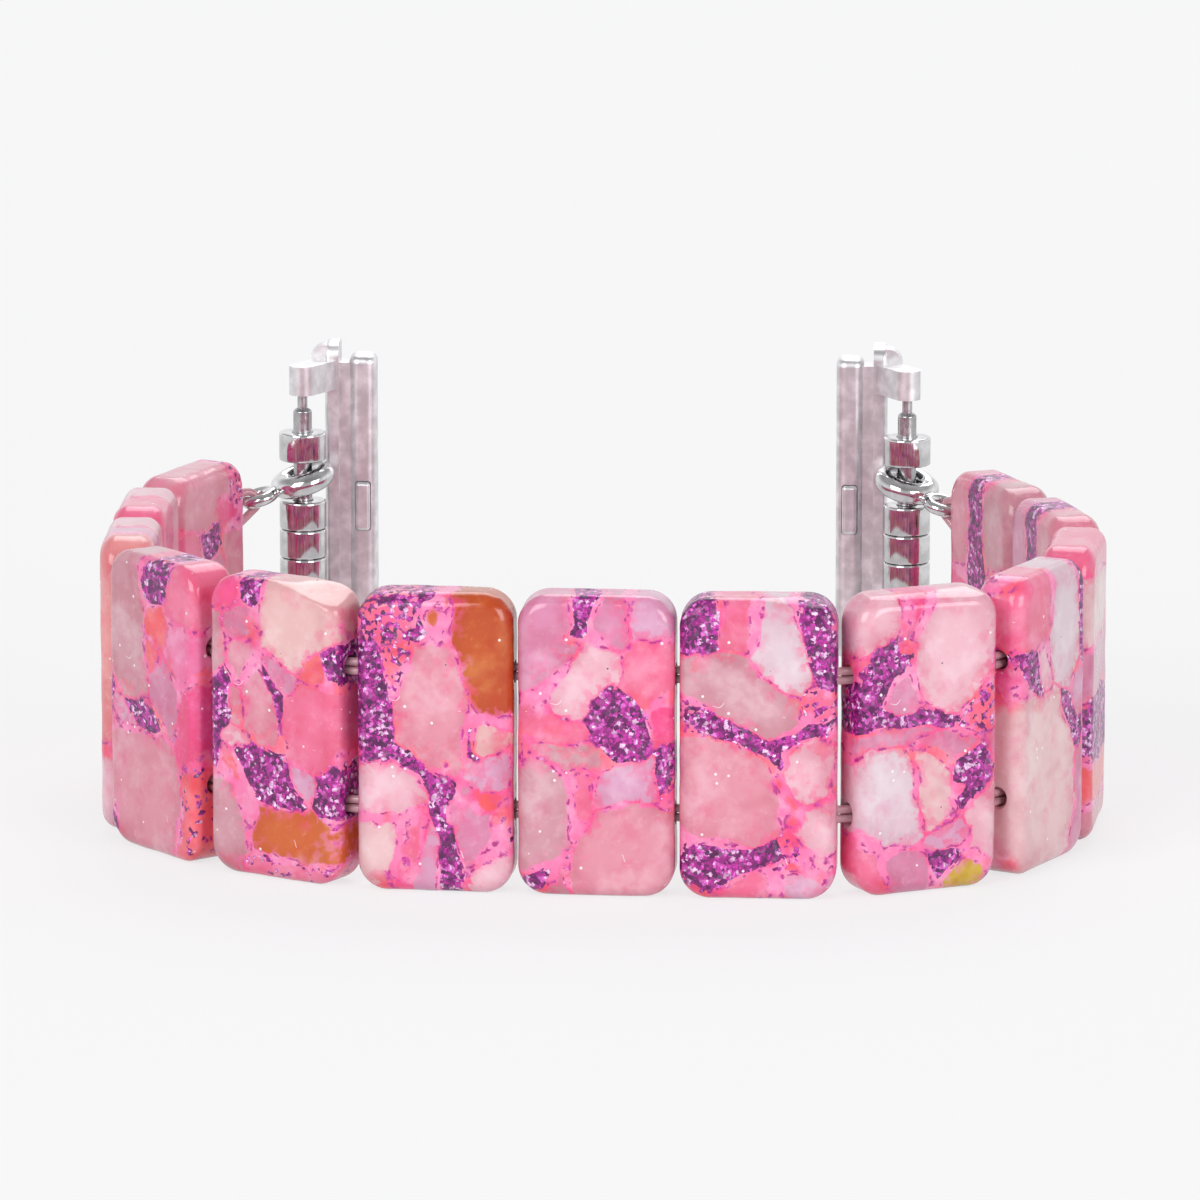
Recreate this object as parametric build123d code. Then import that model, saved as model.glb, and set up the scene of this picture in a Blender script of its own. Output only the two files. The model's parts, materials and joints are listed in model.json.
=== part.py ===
from build123d import *
import os
from dataclasses import dataclass
from math import atan2, cos, degrees, pi, radians, sin, tan

# A stretch watch band: flat stone-look beads on two doubled elastic cords, and at each
# end two bails on a spring bar in a lug adapter. Millimetres, +Z up. The band stands on
# its bead ends, bent as round a wrist, and +Y points from the front bead to the adapters.

# Beads: width runs along the band, height across it
BEAD_WIDTH = 11.8
BEAD_THICKNESS = 4.2
BEAD_HEIGHT = 23.0
BEAD_CORNER_RADIUS = 2.3
BEAD_EDGE_RADIUS = 1.1
BEAD_GAP = 0.25
BORE_DIAMETER = 1.5
UPPER_ROW_SHARE = 0.73
LOWER_ROW_SHARE = 0.27
KNOT_POCKET_DIAMETER = 2.7
KNOT_POCKET_DEPTH = 2.6

# How the band is bent: the centre bead's turn, and each hinge's bend towards the wrist
CENTRE_TURN_DEG = -5.4
RIGHT_BENDS_DEG = [2.0, 28.0, 37.5, 19.5, 23.5, 7.0]
LEFT_BENDS_DEG = [2.0, 25.0, 21.0, 38.0, 2.0, 22.0]
RIGHT_LINK_TURN_DEG = 26.0
LEFT_LINK_TURN_DEG = 44.0
ADAPTER_TURN_DEG = -2.5

# Elastic cord, doubled in every bore
CORD_DIAMETER = 0.65
CORD_STRAND_SPACING = 0.7
CORD_BEND_RADIUS = 1.3
CORD_MOUTH_RUN = 0.45
CORD_REACH = 6.4
CORD_SEAT_CLEARANCE = 0.03
CORD_WRAP_SHARE = 0.98
KNOT_DIAMETER = 1.25
KNOT_LENGTH = 1.7
KNOT_SEAT = 0.4
KNOT_ROUND_SHARE = 0.25

# Bails: a thick ring on the bar and a small loop for the cord
RING_MEAN_RADIUS = 1.85
RING_WIRE_RADIUS = 0.8
LOOP_MEAN_RADIUS = 1.1
LOOP_WIRE_RADIUS = 0.5
LOOP_SOLDER_DEPTH = 0.35
BAIL_TILT_DEG = 25.0
BAIL_SEAT_CLEARANCE = 0.03

# Spacer tubes on the bar
SPACER_DIAMETER = 3.8
SPACER_BORE_DIAMETER = 1.7
SPACER_EDGE = 0.15
SPACERS_ABOVE = 1
SPACERS_BETWEEN = 3
STACK_GAP = 0.03
STACK_REST = 0.45
STACK_PLAY = 3.05

# Spring bar
BARREL_DIAMETER = 1.5
BARREL_BORE_DIAMETER = 1.1
BARREL_CRIMP = 0.4
BARREL_END_CONE = 0.2
TIP_DIAMETER = 0.8
TIP_SHOWN = 1.15
TIP_SEATED = 1.2
TIP_EDGE = 0.12
TIP_CLEARANCE = 0.05
PLUNGER_HEAD_DIAMETER = 1.0
PLUNGER_HEAD_LENGTH = 0.9
BAR_SPRING_DIAMETER = 0.96
BAR_SPRING_WIRE = 0.16
BAR_SPRING_TURNS = 14

# Lug adapter, in its own axes: a away from the case, b towards the dial side, 0 at the bar
ADAPTER_RISE = 6.4
LUG_WIDTH = 24.0
BODY_OVERHANG = 1.3
EAR_THICKNESS = 2.35
EAR_TIP_RADIUS = 1.05
EAR_ROOT_RADIUS = 0.55
EAR_WEB = 1.2
EAR_HOLE_DEPTH = 1.5
FACE_OFFSET = 1.65
FACE_DEPTH = 1.1
FACE_WIDTH = 4.1
FACE_EDGE = 0.35
FACE_END_RADIUS = 1.0
BODY_OFFSET = 4.3
NECK_DEPTH = 0.8
NECK_WIDTH = 2.2
TONGUE_DEPTH = 2.2
TONGUE_WIDTH = 3.1
TONGUE_EDGE = 0.8
TONGUE_END = 0.6
JOIN_OVERLAP = 0.2

# Lock tab in the adapter's tongue
TAB_LENGTH = 4.0
TAB_WIDTH = 1.2
TAB_PROUD = 0.45
TAB_HEIGHT = 1.35
TAB_CLEARANCE = 0.05
TAB_POCKET_DEPTH = 2.2
TAB_EDGE = 0.3
LOCK_SPRING_INSET = 0.2
LOCK_SPRING_THICKNESS = 0.2

# Sizes that follow
CUT_OVERRUN = 1.0
HALF_PITCH = (BEAD_WIDTH + BEAD_GAP) / 2
HINGE_DEPTH = BEAD_THICKNESS / 2 - BEAD_EDGE_RADIUS
UPPER_ROW = BEAD_HEIGHT * UPPER_ROW_SHARE
LOWER_ROW = BEAD_HEIGHT * LOWER_ROW_SHARE
ADAPTER_HEIGHT = BEAD_HEIGHT / 2 + ADAPTER_RISE
BODY_LENGTH = LUG_WIDTH + 2 * BODY_OVERHANG
EAR_GAP = LUG_WIDTH - 2 * EAR_THICKNESS
BARREL_LENGTH = EAR_GAP - 2 * TIP_SHOWN
CORD_SEAT_RADIUS = LOOP_WIRE_RADIUS + CORD_DIAMETER / 2 + CORD_SEAT_CLEARANCE
RING_OUTER_RADIUS = RING_MEAN_RADIUS + RING_WIRE_RADIUS
LOOP_CENTRE = RING_OUTER_RADIUS + LOOP_MEAN_RADIUS + LOOP_WIRE_RADIUS - LOOP_SOLDER_DEPTH
TIE_RADIUS = LOOP_CENTRE + LOOP_MEAN_RADIUS
RING_RISE = RING_MEAN_RADIUS * sin(radians(BAIL_TILT_DEG))
BAIL_HALF_HEIGHT = RING_RISE + RING_WIRE_RADIUS + BAIL_SEAT_CLEARANCE
STACK_ROOM = EAR_GAP - STACK_REST - STACK_PLAY - 4 * BAIL_HALF_HEIGHT
SPACER_COUNT = SPACERS_ABOVE + SPACERS_BETWEEN
SPACER_LENGTH = (STACK_ROOM - (SPACER_COUNT + 1) * STACK_GAP) / SPACER_COUNT


@dataclass
class Place:
    """A spot on the floor plan with the direction of its own X axis."""

    x: float
    y: float
    turn: float

    def point(self, along, inward, height=0.0):
        c, s = cos(radians(self.turn)), sin(radians(self.turn))
        return Vector(self.x + along * c - inward * s, self.y + along * s + inward * c, height)

    def location(self, height=0.0):
        return Location((self.x, self.y, height), (0, 0, self.turn))


@dataclass
class Side:
    """One half of the band: its beads, the hinges between them, and its end."""

    name: str
    sign: int
    beads: list
    hinges: list
    tie: Vector
    bail: Place
    adapter: Place


# Layout: where each piece stands

def turned(point, turn):
    return Place(point.X, point.Y, turn)


def lay_out_side(name, sign, centre, bends, link_turn):
    """Chain the beads outward from the centre bead, then the bails and the adapter."""
    beads, hinges = [centre], []
    for bend in bends:
        last = beads[-1]
        hinge = last.point(sign * HALF_PITCH, HINGE_DEPTH)
        turn = last.turn + sign * bend
        hinges.append(hinge)
        beads.append(turned(turned(hinge, turn).point(sign * HALF_PITCH, -HINGE_DEPTH), turn))
    mouth = beads[-1].point(sign * (BEAD_WIDTH / 2 + CORD_MOUTH_RUN), 0)
    link = turned(mouth, beads[-1].turn + sign * link_turn)
    bar = link.point(sign * CORD_REACH, 0)
    bail = turned(bar, degrees(atan2(mouth.Y - bar.Y, mouth.X - bar.X)))
    tie = bail.point(TIE_RADIUS * cos(radians(BAIL_TILT_DEG)), 0)
    return Side(name, sign, beads[1:], hinges, tie, bail, turned(bar, ADAPTER_TURN_DEG))


def bail_heights():
    """The bails' heights from the adapter's middle, lower first, as the stack rests."""
    lower = -EAR_GAP / 2 + STACK_REST + BAIL_HALF_HEIGHT
    between = STACK_GAP + SPACERS_BETWEEN * (SPACER_LENGTH + STACK_GAP)
    return [lower, lower + 2 * BAIL_HALF_HEIGHT + between]


def spacer_heights():
    """The spacers' middle heights from the adapter's middle, from the lowest up."""
    lower, upper = bail_heights()
    pitch = SPACER_LENGTH + STACK_GAP
    first = BAIL_HALF_HEIGHT + STACK_GAP + SPACER_LENGTH / 2
    between = [lower + first + i * pitch for i in range(SPACERS_BETWEEN)]
    above = [upper + first + i * pitch for i in range(SPACERS_ABOVE)]
    return between + above


# Beads

def bead_blank():
    """A tablet with round corners in front view and soft edges all round."""
    outline = RectangleRounded(BEAD_WIDTH, BEAD_HEIGHT, BEAD_CORNER_RADIUS)
    tablet = extrude(Plane.XZ * outline, BEAD_THICKNESS / 2, both=True)
    rims = tablet.faces().sort_by(Axis.Y)
    tablet = fillet(rims[0].edges() + rims[-1].edges(), BEAD_EDGE_RADIUS)
    return Pos(0, 0, BEAD_HEIGHT / 2) * tablet


def cross_bore(height):
    drill = Cylinder(BORE_DIAMETER / 2, BEAD_WIDTH + CUT_OVERRUN)
    return Pos(0, 0, height) * Rot(0, 90, 0) * drill


def bead():
    return bead_blank() - cross_bore(UPPER_ROW) - cross_bore(LOWER_ROW)


def knotted_bead():
    """The end bead that hides the knots, in pockets that open towards its neighbour."""
    start = -BEAD_WIDTH / 2 + KNOT_POCKET_DEPTH
    body = bead()
    for height in (UPPER_ROW, LOWER_ROW):
        pocket = Cylinder(
            KNOT_POCKET_DIAMETER / 2,
            KNOT_POCKET_DEPTH + CUT_OVERRUN,
            align=(Align.CENTER, Align.CENTER, Align.MAX),
        )
        body -= Pos(start, 0, height) * Rot(0, 90, 0) * pocket
    return body


def knot(height):
    """A tight knot on the lower strand, seen as a round-ended barrel."""
    centre = -BEAD_WIDTH / 2 + KNOT_SEAT + KNOT_LENGTH / 2
    barrel = Cylinder(KNOT_DIAMETER / 2, KNOT_LENGTH)
    barrel = fillet(barrel.edges().filter_by(GeomType.CIRCLE), KNOT_DIAMETER * KNOT_ROUND_SHARE)
    return Pos(centre, 0, height - KNOT_DIAMETER / 2) * Rot(0, 90, 0) * barrel


# Elastic cords

def hinge_corner(side, index, height):
    """Where the bore axes of two neighbouring beads cross."""
    before = side.beads[index - 1].turn if index else CENTRE_TURN_DEG
    bend = abs(side.beads[index].turn - before)
    run = HALF_PITCH + HINGE_DEPTH * tan(radians(bend / 2))
    radius = BEAD_GAP / 2 / tan(radians(bend / 2)) + HINGE_DEPTH
    return side.beads[index].point(-side.sign * run, 0, height), radius


def end_turn(side, row, tie_height):
    """The cord's corners round a bail's loop, from the upper strand to the lower one."""
    offset = CORD_STRAND_SPACING / 2
    mouth = side.beads[-1].point(side.sign * (BEAD_WIDTH / 2 + CORD_MOUTH_RUN), 0, row)
    tie = Vector(side.tie.X, side.tie.Y, tie_height)
    out = (mouth - tie).normalized()
    level = Vector(out.X, out.Y, 0).normalized()
    rise = Vector(-out.Z * level.X, -out.Z * level.Y, (out.X**2 + out.Y**2) ** (1 / 2))
    seat = CORD_SEAT_RADIUS
    lift = Vector(0, 0, offset)
    points = [
        mouth + lift,
        tie + rise * seat + out * seat / 2,
        tie + rise * seat - out * seat,
        tie - rise * seat - out * seat,
        tie - rise * seat + out * seat / 2,
        mouth - lift,
    ]
    around = seat * CORD_WRAP_SHARE
    radii = [CORD_DIAMETER, CORD_BEND_RADIUS, around, around, CORD_BEND_RADIUS, CORD_DIAMETER]
    return points, radii


def cord_route(left, right, row, tie_height):
    """The whole doubled cord, from one side of its knot round both ends to the other."""
    offset = CORD_STRAND_SPACING / 2
    knot_end = -BEAD_WIDTH / 2 + KNOT_SEAT
    start = right.beads[-1].point(knot_end + KNOT_LENGTH, 0, row - offset)
    finish = right.beads[-1].point(knot_end, 0, row - offset)
    right_points, right_radii = end_turn(right, row, tie_height)
    left_points, left_radii = end_turn(left, row, tie_height)
    inner = [hinge_corner(right, i, row) for i in reversed(range(len(right.beads)))]
    inner += [hinge_corner(left, i, row) for i in range(len(left.beads))]
    bends = [radius for _, radius in inner]
    upper = [corner + Vector(0, 0, offset) for corner, _ in inner]
    lower = [corner - Vector(0, 0, offset) for corner, _ in reversed(inner)]
    points = [start] + right_points[::-1] + upper + left_points + lower + [finish]
    radii = right_radii[::-1] + bends + left_radii + bends[::-1]
    return points, radii


def rounded_route(points, radii):
    """Straight runs joined by tangent arcs, one at each corner."""
    edges, last = [], points[0]
    for before, corner, after, radius in zip(points, points[1:], points[2:], radii):
        back = (before - corner).normalized()
        ahead = (after - corner).normalized()
        half = radians(back.get_angle(ahead)) / 2
        start = corner + back * radius / tan(half)
        stop = corner + ahead * radius / tan(half)
        middle = corner + (back + ahead).normalized() * (radius / sin(half) - radius)
        edges += [Edge.make_line(last, start), Edge.make_three_point_arc(start, middle, stop)]
        last = stop
    return Wire(edges + [Edge.make_line(last, points[-1])])


def elastic_cord(left, right, row, tie_height):
    points, radii = cord_route(left, right, row, tie_height)
    path = rounded_route(points, radii)
    section = Plane(origin=path @ 0, z_dir=path % 0) * Circle(CORD_DIAMETER / 2)
    cord = sweep(section, path=path)
    print("cord bend radii", " ".join(f"{radius:.2f}" for radius in radii))
    print(f"cord length {path.length:.1f}, volume {cord.volume / path.length:.4f} a unit of length")
    print(f"cord section {section.area:.4f}")
    return cord


# Bails and spacers

def bail():
    """A thick ring on the bar, tilted so that its small loop hangs towards the beads."""
    ring = Torus(RING_MEAN_RADIUS, RING_WIRE_RADIUS)
    loop = Pos(LOOP_CENTRE, 0, 0) * Torus(LOOP_MEAN_RADIUS, LOOP_WIRE_RADIUS)
    return Rot(0, BAIL_TILT_DEG, 0) * (ring + loop)


def spacer():
    tube = Cylinder(SPACER_DIAMETER / 2, SPACER_LENGTH)
    tube = fillet(tube.edges().filter_by(GeomType.CIRCLE), SPACER_EDGE)
    return tube - Cylinder(SPACER_BORE_DIAMETER / 2, SPACER_LENGTH + CUT_OVERRUN)


# Spring bar

def coil(mean_radius, wire, turns, length):
    """A compression spring about Z, wound from quarter-turn arcs."""
    steps = 4 * turns
    rise = (length - 2 * wire) / steps

    def spot(step):
        angle = step * pi / 2
        height = wire + rise * step - length / 2
        return Vector(mean_radius * cos(angle), mean_radius * sin(angle), height)

    arcs = [Edge.make_three_point_arc(spot(i), spot(i + 1 / 2), spot(i + 1)) for i in range(steps)]
    path = Wire(arcs)
    print(f"coil pitch {4 * rise:.3f}, gap between turns {4 * rise - wire:.3f}")
    return sweep(Plane(origin=path @ 0, z_dir=path % 0) * Circle(wire / 2), path=path)


def barrel():
    """The bar's tube, crimped at both ends so that the plunger heads stay in."""
    outside = Cylinder(BARREL_DIAMETER / 2, BARREL_LENGTH)
    outside = chamfer(outside.edges().filter_by(GeomType.CIRCLE), BARREL_END_CONE)
    inside = Cylinder(BARREL_BORE_DIAMETER / 2, BARREL_LENGTH - 2 * BARREL_CRIMP)
    mouth = Cylinder(TIP_DIAMETER / 2 + TIP_CLEARANCE, BARREL_LENGTH + CUT_OVERRUN)
    return outside - inside - mouth


def plunger():
    """The upper plunger: a headed pin whose tip stands in the ear."""
    head_top = BARREL_LENGTH / 2 - BARREL_CRIMP - TIP_CLEARANCE
    tip_end = EAR_GAP / 2 + TIP_SEATED
    onto = (Align.CENTER, Align.CENTER, Align.MAX)
    pin = Cylinder(TIP_DIAMETER / 2, tip_end - head_top + PLUNGER_HEAD_LENGTH / 2, align=onto)
    pin = chamfer(pin.edges().filter_by(GeomType.CIRCLE).sort_by(Axis.Z)[-1], TIP_EDGE)
    head = Cylinder(PLUNGER_HEAD_DIAMETER / 2, PLUNGER_HEAD_LENGTH, align=onto)
    return Pos(0, 0, tip_end) * pin + Pos(0, 0, head_top) * head


def bar_spring():
    length = BARREL_LENGTH - 2 * (BARREL_CRIMP + TIP_CLEARANCE + PLUNGER_HEAD_LENGTH)
    mean_radius = (BAR_SPRING_DIAMETER - BAR_SPRING_WIRE) / 2
    return coil(mean_radius, BAR_SPRING_WIRE, BAR_SPRING_TURNS, length)


# Lug adapter, built for the right side with a along +X and b along +Y

def ear():
    """A plate from the bar's knuckle back to the adapter's face."""
    root = -FACE_OFFSET - EAR_ROOT_RADIUS
    low = BODY_OFFSET - FACE_WIDTH / 2 + EAR_ROOT_RADIUS
    outline = Sketch() + [
        Circle(EAR_TIP_RADIUS),
        Pos(root, low) * Circle(EAR_ROOT_RADIUS),
        Pos(root, BODY_OFFSET) * Circle(EAR_ROOT_RADIUS),
    ]
    plate = extrude(make_hull(outline.edges()), EAR_THICKNESS)
    hole = Cylinder(TIP_DIAMETER / 2 + TIP_CLEARANCE, 2 * EAR_HOLE_DEPTH)
    return Pos(0, 0, EAR_GAP / 2) * (plate - hole)


def ear_web():
    """The hollow-curved web that runs from the ear's outer side up the face strip."""
    foot = (-FACE_OFFSET - JOIN_OVERLAP, LUG_WIDTH / 2 - JOIN_OVERLAP)
    corner = (-FACE_OFFSET + EAR_WEB, LUG_WIDTH / 2)
    top = (-FACE_OFFSET, LUG_WIDTH / 2 + EAR_WEB)
    sides = Polyline((corner[0], foot[1]), foot, (foot[0], top[1]), top)
    hollow = RadiusArc(top, corner, EAR_WEB)
    profile = make_face(Curve() + [sides, hollow, Line(corner, (corner[0], foot[1]))])
    inner_side = BODY_OFFSET - FACE_WIDTH / 2 + FACE_EDGE
    return Pos(0, BODY_OFFSET, 0) * extrude(Plane.XZ * profile, BODY_OFFSET - inner_side)


def face_strip():
    """The strip that lies against the case's side, round-ended."""
    strip = Box(FACE_DEPTH, FACE_WIDTH, BODY_LENGTH)
    strip = fillet(strip.edges().filter_by(Axis.X), FACE_END_RADIUS)
    strip = fillet(strip.faces().sort_by(Axis.X)[-1].edges(), FACE_EDGE)
    return Pos(-FACE_OFFSET - FACE_DEPTH / 2, BODY_OFFSET, 0) * strip


def tongue():
    """The neck and the rounded tongue that slide in the case's slot."""
    neck_end = -FACE_OFFSET - FACE_DEPTH - NECK_DEPTH
    head_length = BODY_LENGTH - FACE_WIDTH / 2
    neck = Box(NECK_DEPTH + 2 * JOIN_OVERLAP, NECK_WIDTH, head_length - 2 * TONGUE_END)
    head = Box(TONGUE_DEPTH, TONGUE_WIDTH, head_length)
    head = fillet(head.edges().filter_by(Axis.Z), TONGUE_EDGE)
    ends = head.faces().sort_by(Axis.Z)
    head = fillet(ends[0].edges() + ends[-1].edges(), TONGUE_END)
    neck = Pos(neck_end + NECK_DEPTH / 2, BODY_OFFSET, 0) * neck
    return neck + Pos(neck_end - TONGUE_DEPTH / 2, BODY_OFFSET, 0) * head


def tongue_middle():
    """The middle of the tongue's wrist-side face, where the lock tab stands out."""
    return -FACE_OFFSET - FACE_DEPTH - NECK_DEPTH - TONGUE_DEPTH / 2, BODY_OFFSET - TONGUE_WIDTH / 2


def tab_pocket():
    x, y = tongue_middle()
    room = 2 * TAB_CLEARANCE
    plan = RectangleRounded(TAB_WIDTH + room, TAB_LENGTH + room, TAB_EDGE)
    return Pos(x, y, 0) * extrude(Plane.XZ * plan, -TAB_POCKET_DEPTH)


def lug_adapter():
    upper = ear() + ear_web()
    return face_strip() + tongue() + upper + mirror(upper, about=Plane.XY) - tab_pocket()


def lock_tab():
    x, y = tongue_middle()
    plan = RectangleRounded(TAB_WIDTH, TAB_LENGTH, TAB_EDGE)
    tab = extrude(Plane.XZ * plan, -TAB_HEIGHT)
    tab = fillet(tab.faces().sort_by(Axis.Y)[0].edges(), TAB_EDGE)
    return Pos(x, y - TAB_PROUD, 0) * tab


def lock_spring():
    """A bowed leaf: its ends stand on the pocket's floor and its crown lifts the tab."""
    x, y = tongue_middle()
    rise = TAB_POCKET_DEPTH - TAB_HEIGHT + TAB_PROUD
    span = TAB_LENGTH - 2 * LOCK_SPRING_INSET
    radius = span**2 / (8 * rise) + rise / 2
    bow = Circle(radius) - Circle(radius - LOCK_SPRING_THICKNESS)
    bow = Pos(0, rise - radius) * bow & Pos(0, rise / 2) * Rectangle(span, rise)
    floor = Plane(origin=(x, y + TAB_POCKET_DEPTH, 0), x_dir=(0, 0, 1), z_dir=(1, 0, 0))
    return extrude(floor * bow, TAB_WIDTH / 2 - LOCK_SPRING_INSET, both=True)


# The assembly

def place_beads(parts, centre, left, right):
    plain = bead()
    parts["bead_centre"] = centre.location() * plain
    for side in (left, right):
        for number, spot in enumerate(side.beads, 1):
            knotted = side is right and number == len(side.beads)
            shape = knotted_bead() if knotted else plain
            parts[f"bead_{side.name}_{number}"] = spot.location() * shape


def place_cords(parts, left, right):
    drop = TIE_RADIUS * sin(radians(BAIL_TILT_DEG))
    ties = [ADAPTER_HEIGHT + height - drop for height in bail_heights()]
    for name, row, tie_height in zip(("lower", "upper"), (LOWER_ROW, UPPER_ROW), ties):
        parts[f"elastic_cord_{name}"] = elastic_cord(left, right, row, tie_height)
        parts[f"cord_knot_{name}"] = right.beads[-1].location() * knot(row)


def place_bar(parts, side):
    spot = side.adapter.location(ADAPTER_HEIGHT)
    parts[f"bar_barrel_{side.name}"] = spot * barrel()
    parts[f"bar_spring_{side.name}"] = spot * bar_spring()
    upper = plunger()
    parts[f"bar_plunger_{side.name}_upper"] = spot * upper
    parts[f"bar_plunger_{side.name}_lower"] = spot * mirror(upper, about=Plane.XY)
    for number, height in enumerate(spacer_heights(), 1):
        parts[f"spacer_{side.name}_{number}"] = spot * (Pos(0, 0, height) * spacer())
    for name, height in zip(("lower", "upper"), bail_heights()):
        parts[f"bail_{side.name}_{name}"] = side.bail.location(ADAPTER_HEIGHT + height) * bail()


def place_adapter(parts, side):
    pieces = {"lug_adapter": lug_adapter(), "lock_tab": lock_tab(), "lock_spring": lock_spring()}
    for name, piece in pieces.items():
        handed = piece if side.sign > 0 else mirror(piece, about=Plane.YZ)
        parts[f"{name}_{side.name}"] = side.adapter.location(ADAPTER_HEIGHT) * handed


def lay_out():
    centre = Place(0, 0, CENTRE_TURN_DEG)
    right = lay_out_side("right", 1, centre, RIGHT_BENDS_DEG, RIGHT_LINK_TURN_DEG)
    left = lay_out_side("left", -1, centre, LEFT_BENDS_DEG, LEFT_LINK_TURN_DEG)
    return centre, left, right


def assemble():
    """Every piece in its place, with the origin under the middle of the whole band."""
    centre, left, right = lay_out()
    parts = {}
    place_beads(parts, centre, left, right)
    place_cords(parts, left, right)
    for side in (left, right):
        place_bar(parts, side)
        place_adapter(parts, side)
    box = Compound(children=[Part(p.wrapped) for p in parts.values()]).bounding_box()
    shift = Pos(-box.center().X, -box.center().Y, -box.min.Z)
    return {name: shift * piece for name, piece in parts.items()}, shift.position


def main():
    parts, shift = assemble()
    os.makedirs("parts", exist_ok=True)
    for name, piece in parts.items():
        export_step(piece, f"parts/{name}.step")
    print(f"{len(parts)} nodes, origin shift {shift.X:.4f} {shift.Y:.4f} {shift.Z:.4f}")


main()
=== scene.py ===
"""The looks of a stretch watch band: stone-look beads, elastic cords and steel ends.

Sizes are in millimetres where a name says so, and in metres elsewhere. Every piece stands in
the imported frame: +Z up along the beads, +Y from the front bead towards the lug adapters.
"""

import json
import logging
import math
from dataclasses import dataclass, field, replace
from enum import Enum
from typing import ClassVar

import bmesh
import bpy
import numpy as np
from mathutils import Matrix, Vector, noise


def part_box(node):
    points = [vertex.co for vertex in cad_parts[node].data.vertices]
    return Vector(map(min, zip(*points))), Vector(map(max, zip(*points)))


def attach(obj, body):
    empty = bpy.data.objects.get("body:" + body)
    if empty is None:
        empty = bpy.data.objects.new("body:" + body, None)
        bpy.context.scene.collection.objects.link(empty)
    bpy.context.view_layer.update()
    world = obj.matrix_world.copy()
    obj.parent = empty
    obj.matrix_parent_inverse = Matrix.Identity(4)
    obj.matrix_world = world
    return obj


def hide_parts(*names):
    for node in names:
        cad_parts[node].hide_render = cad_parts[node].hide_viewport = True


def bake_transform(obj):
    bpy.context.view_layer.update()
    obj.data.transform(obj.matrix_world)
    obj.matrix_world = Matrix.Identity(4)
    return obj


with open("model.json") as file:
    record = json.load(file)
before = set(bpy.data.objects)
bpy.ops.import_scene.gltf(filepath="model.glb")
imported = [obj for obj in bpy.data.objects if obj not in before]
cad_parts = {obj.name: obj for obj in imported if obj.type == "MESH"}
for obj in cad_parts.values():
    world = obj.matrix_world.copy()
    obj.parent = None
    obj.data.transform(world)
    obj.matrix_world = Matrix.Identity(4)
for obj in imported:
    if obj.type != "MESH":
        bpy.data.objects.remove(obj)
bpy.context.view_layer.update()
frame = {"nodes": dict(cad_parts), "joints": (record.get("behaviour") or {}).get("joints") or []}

log = logging.getLogger("watch_band")
logging.basicConfig(level=logging.INFO, format="%(message)s")

MM = 0.001
TINY = 1e-9
UP = Vector((0, 0, 1))
JOINTS = {joint["name"]: joint for joint in frame["joints"]}
SIDES = {"left": -1, "right": 1}
LEVELS = {"upper": 1, "lower": -1}
BEADS_A_SIDE = 6


class Tint(Enum):
    """The colours of the resin, as they look on a screen, from 0 to 255."""

    PALE = (236, 184, 198)
    CREAM = (234, 196, 198)
    DUSTY = (226, 148, 166)
    MAUVE = (218, 140, 176)
    ASH = (210, 154, 166)
    LILAC = (222, 168, 200)
    MILK = (224, 202, 212)
    ROSE = (244, 120, 158)
    HOT = (248, 84, 148)
    VEIN = (248, 130, 182)
    CURD = (246, 178, 206)
    BERRY = (206, 44, 146)
    CORAL = (252, 96, 104)
    PEACH = (234, 188, 186)
    SALMON = (240, 160, 160)
    AMBER = (194, 80, 24)
    TOPAZ = (212, 102, 44)
    GOLD = (202, 168, 36)
    PLUM = (74, 18, 84)


CREASE_DEG = 38.0
TUBE_CREASE_DEG = 60.0
MIDDLE = (0.5, 0.5, 0.5)
CHIP_CORNER_SHARE = 0.69
# Glitter flake colours, dark purple to magenta; the last, near-white stop is a painted glint on the luckiest
# flakes.
FLAKE_TINTS_AND_GLINTS = (
    (0.0, (88, 8, 84)), (0.18, (124, 14, 110)), (0.38, (170, 26, 142)), (0.58, (212, 50, 176)),
    (0.76, (242, 110, 218)), (0.9, (255, 208, 248)),
)
FLAKE_RIM = (84, 4, 74)
DRIFT_SHADE = (0.86, 0.58, 0.64, 1)
BLUSH_SHADE = (1.0, 0.6, 0.76, 1)
DEEP_SHADE = (0.84, 0.62, 0.68, 1)
# Painted glint: the white of tiny glitter specks, drawn into the resin's colour.
SPECK_GLINT_WHITE = (1, 0.92, 0.95, 1)
SCRATCH_WHITE = (1, 0.95, 0.97, 1)


def linear(tint: tuple[int, int, int]) -> tuple[float, float, float, float]:
    """Turns a screen colour into the renderer's linear one.

    Args:
        tint: Red, green and blue from 0 to 255.

    Returns:
        Linear red, green and blue with a full alpha.
    """
    shares = [value / 255 for value in tint]
    curved = [s / 12.92 if s <= 0.04045 else ((s + 0.055) / 1.055) ** 2.4 for s in shares]
    return (*curved, 1.0)


@dataclass(frozen=True)
class Chip:
    """One stone chip in a bead's face, in millimetres of the bead's own axes.

    across runs along the band, 0 in the bead's middle, and up from the bead's lower end.
    lean turns the chip's top towards +across, in degrees. A sparkling chip is a pocket of
    purple glitter.
    """

    across: float
    up: float
    half_width: float
    half_height: float
    tint: Tint
    lean: float = 0.0
    sparkle: float = 0.0


def glitter(across: float, up: float, half_width: float, half_height: float, lean: float = 0.0) -> Chip:
    """A pocket or a vein of purple glitter."""
    return Chip(across, up, half_width, half_height, Tint.PLUM, lean, 1.0)


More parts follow.
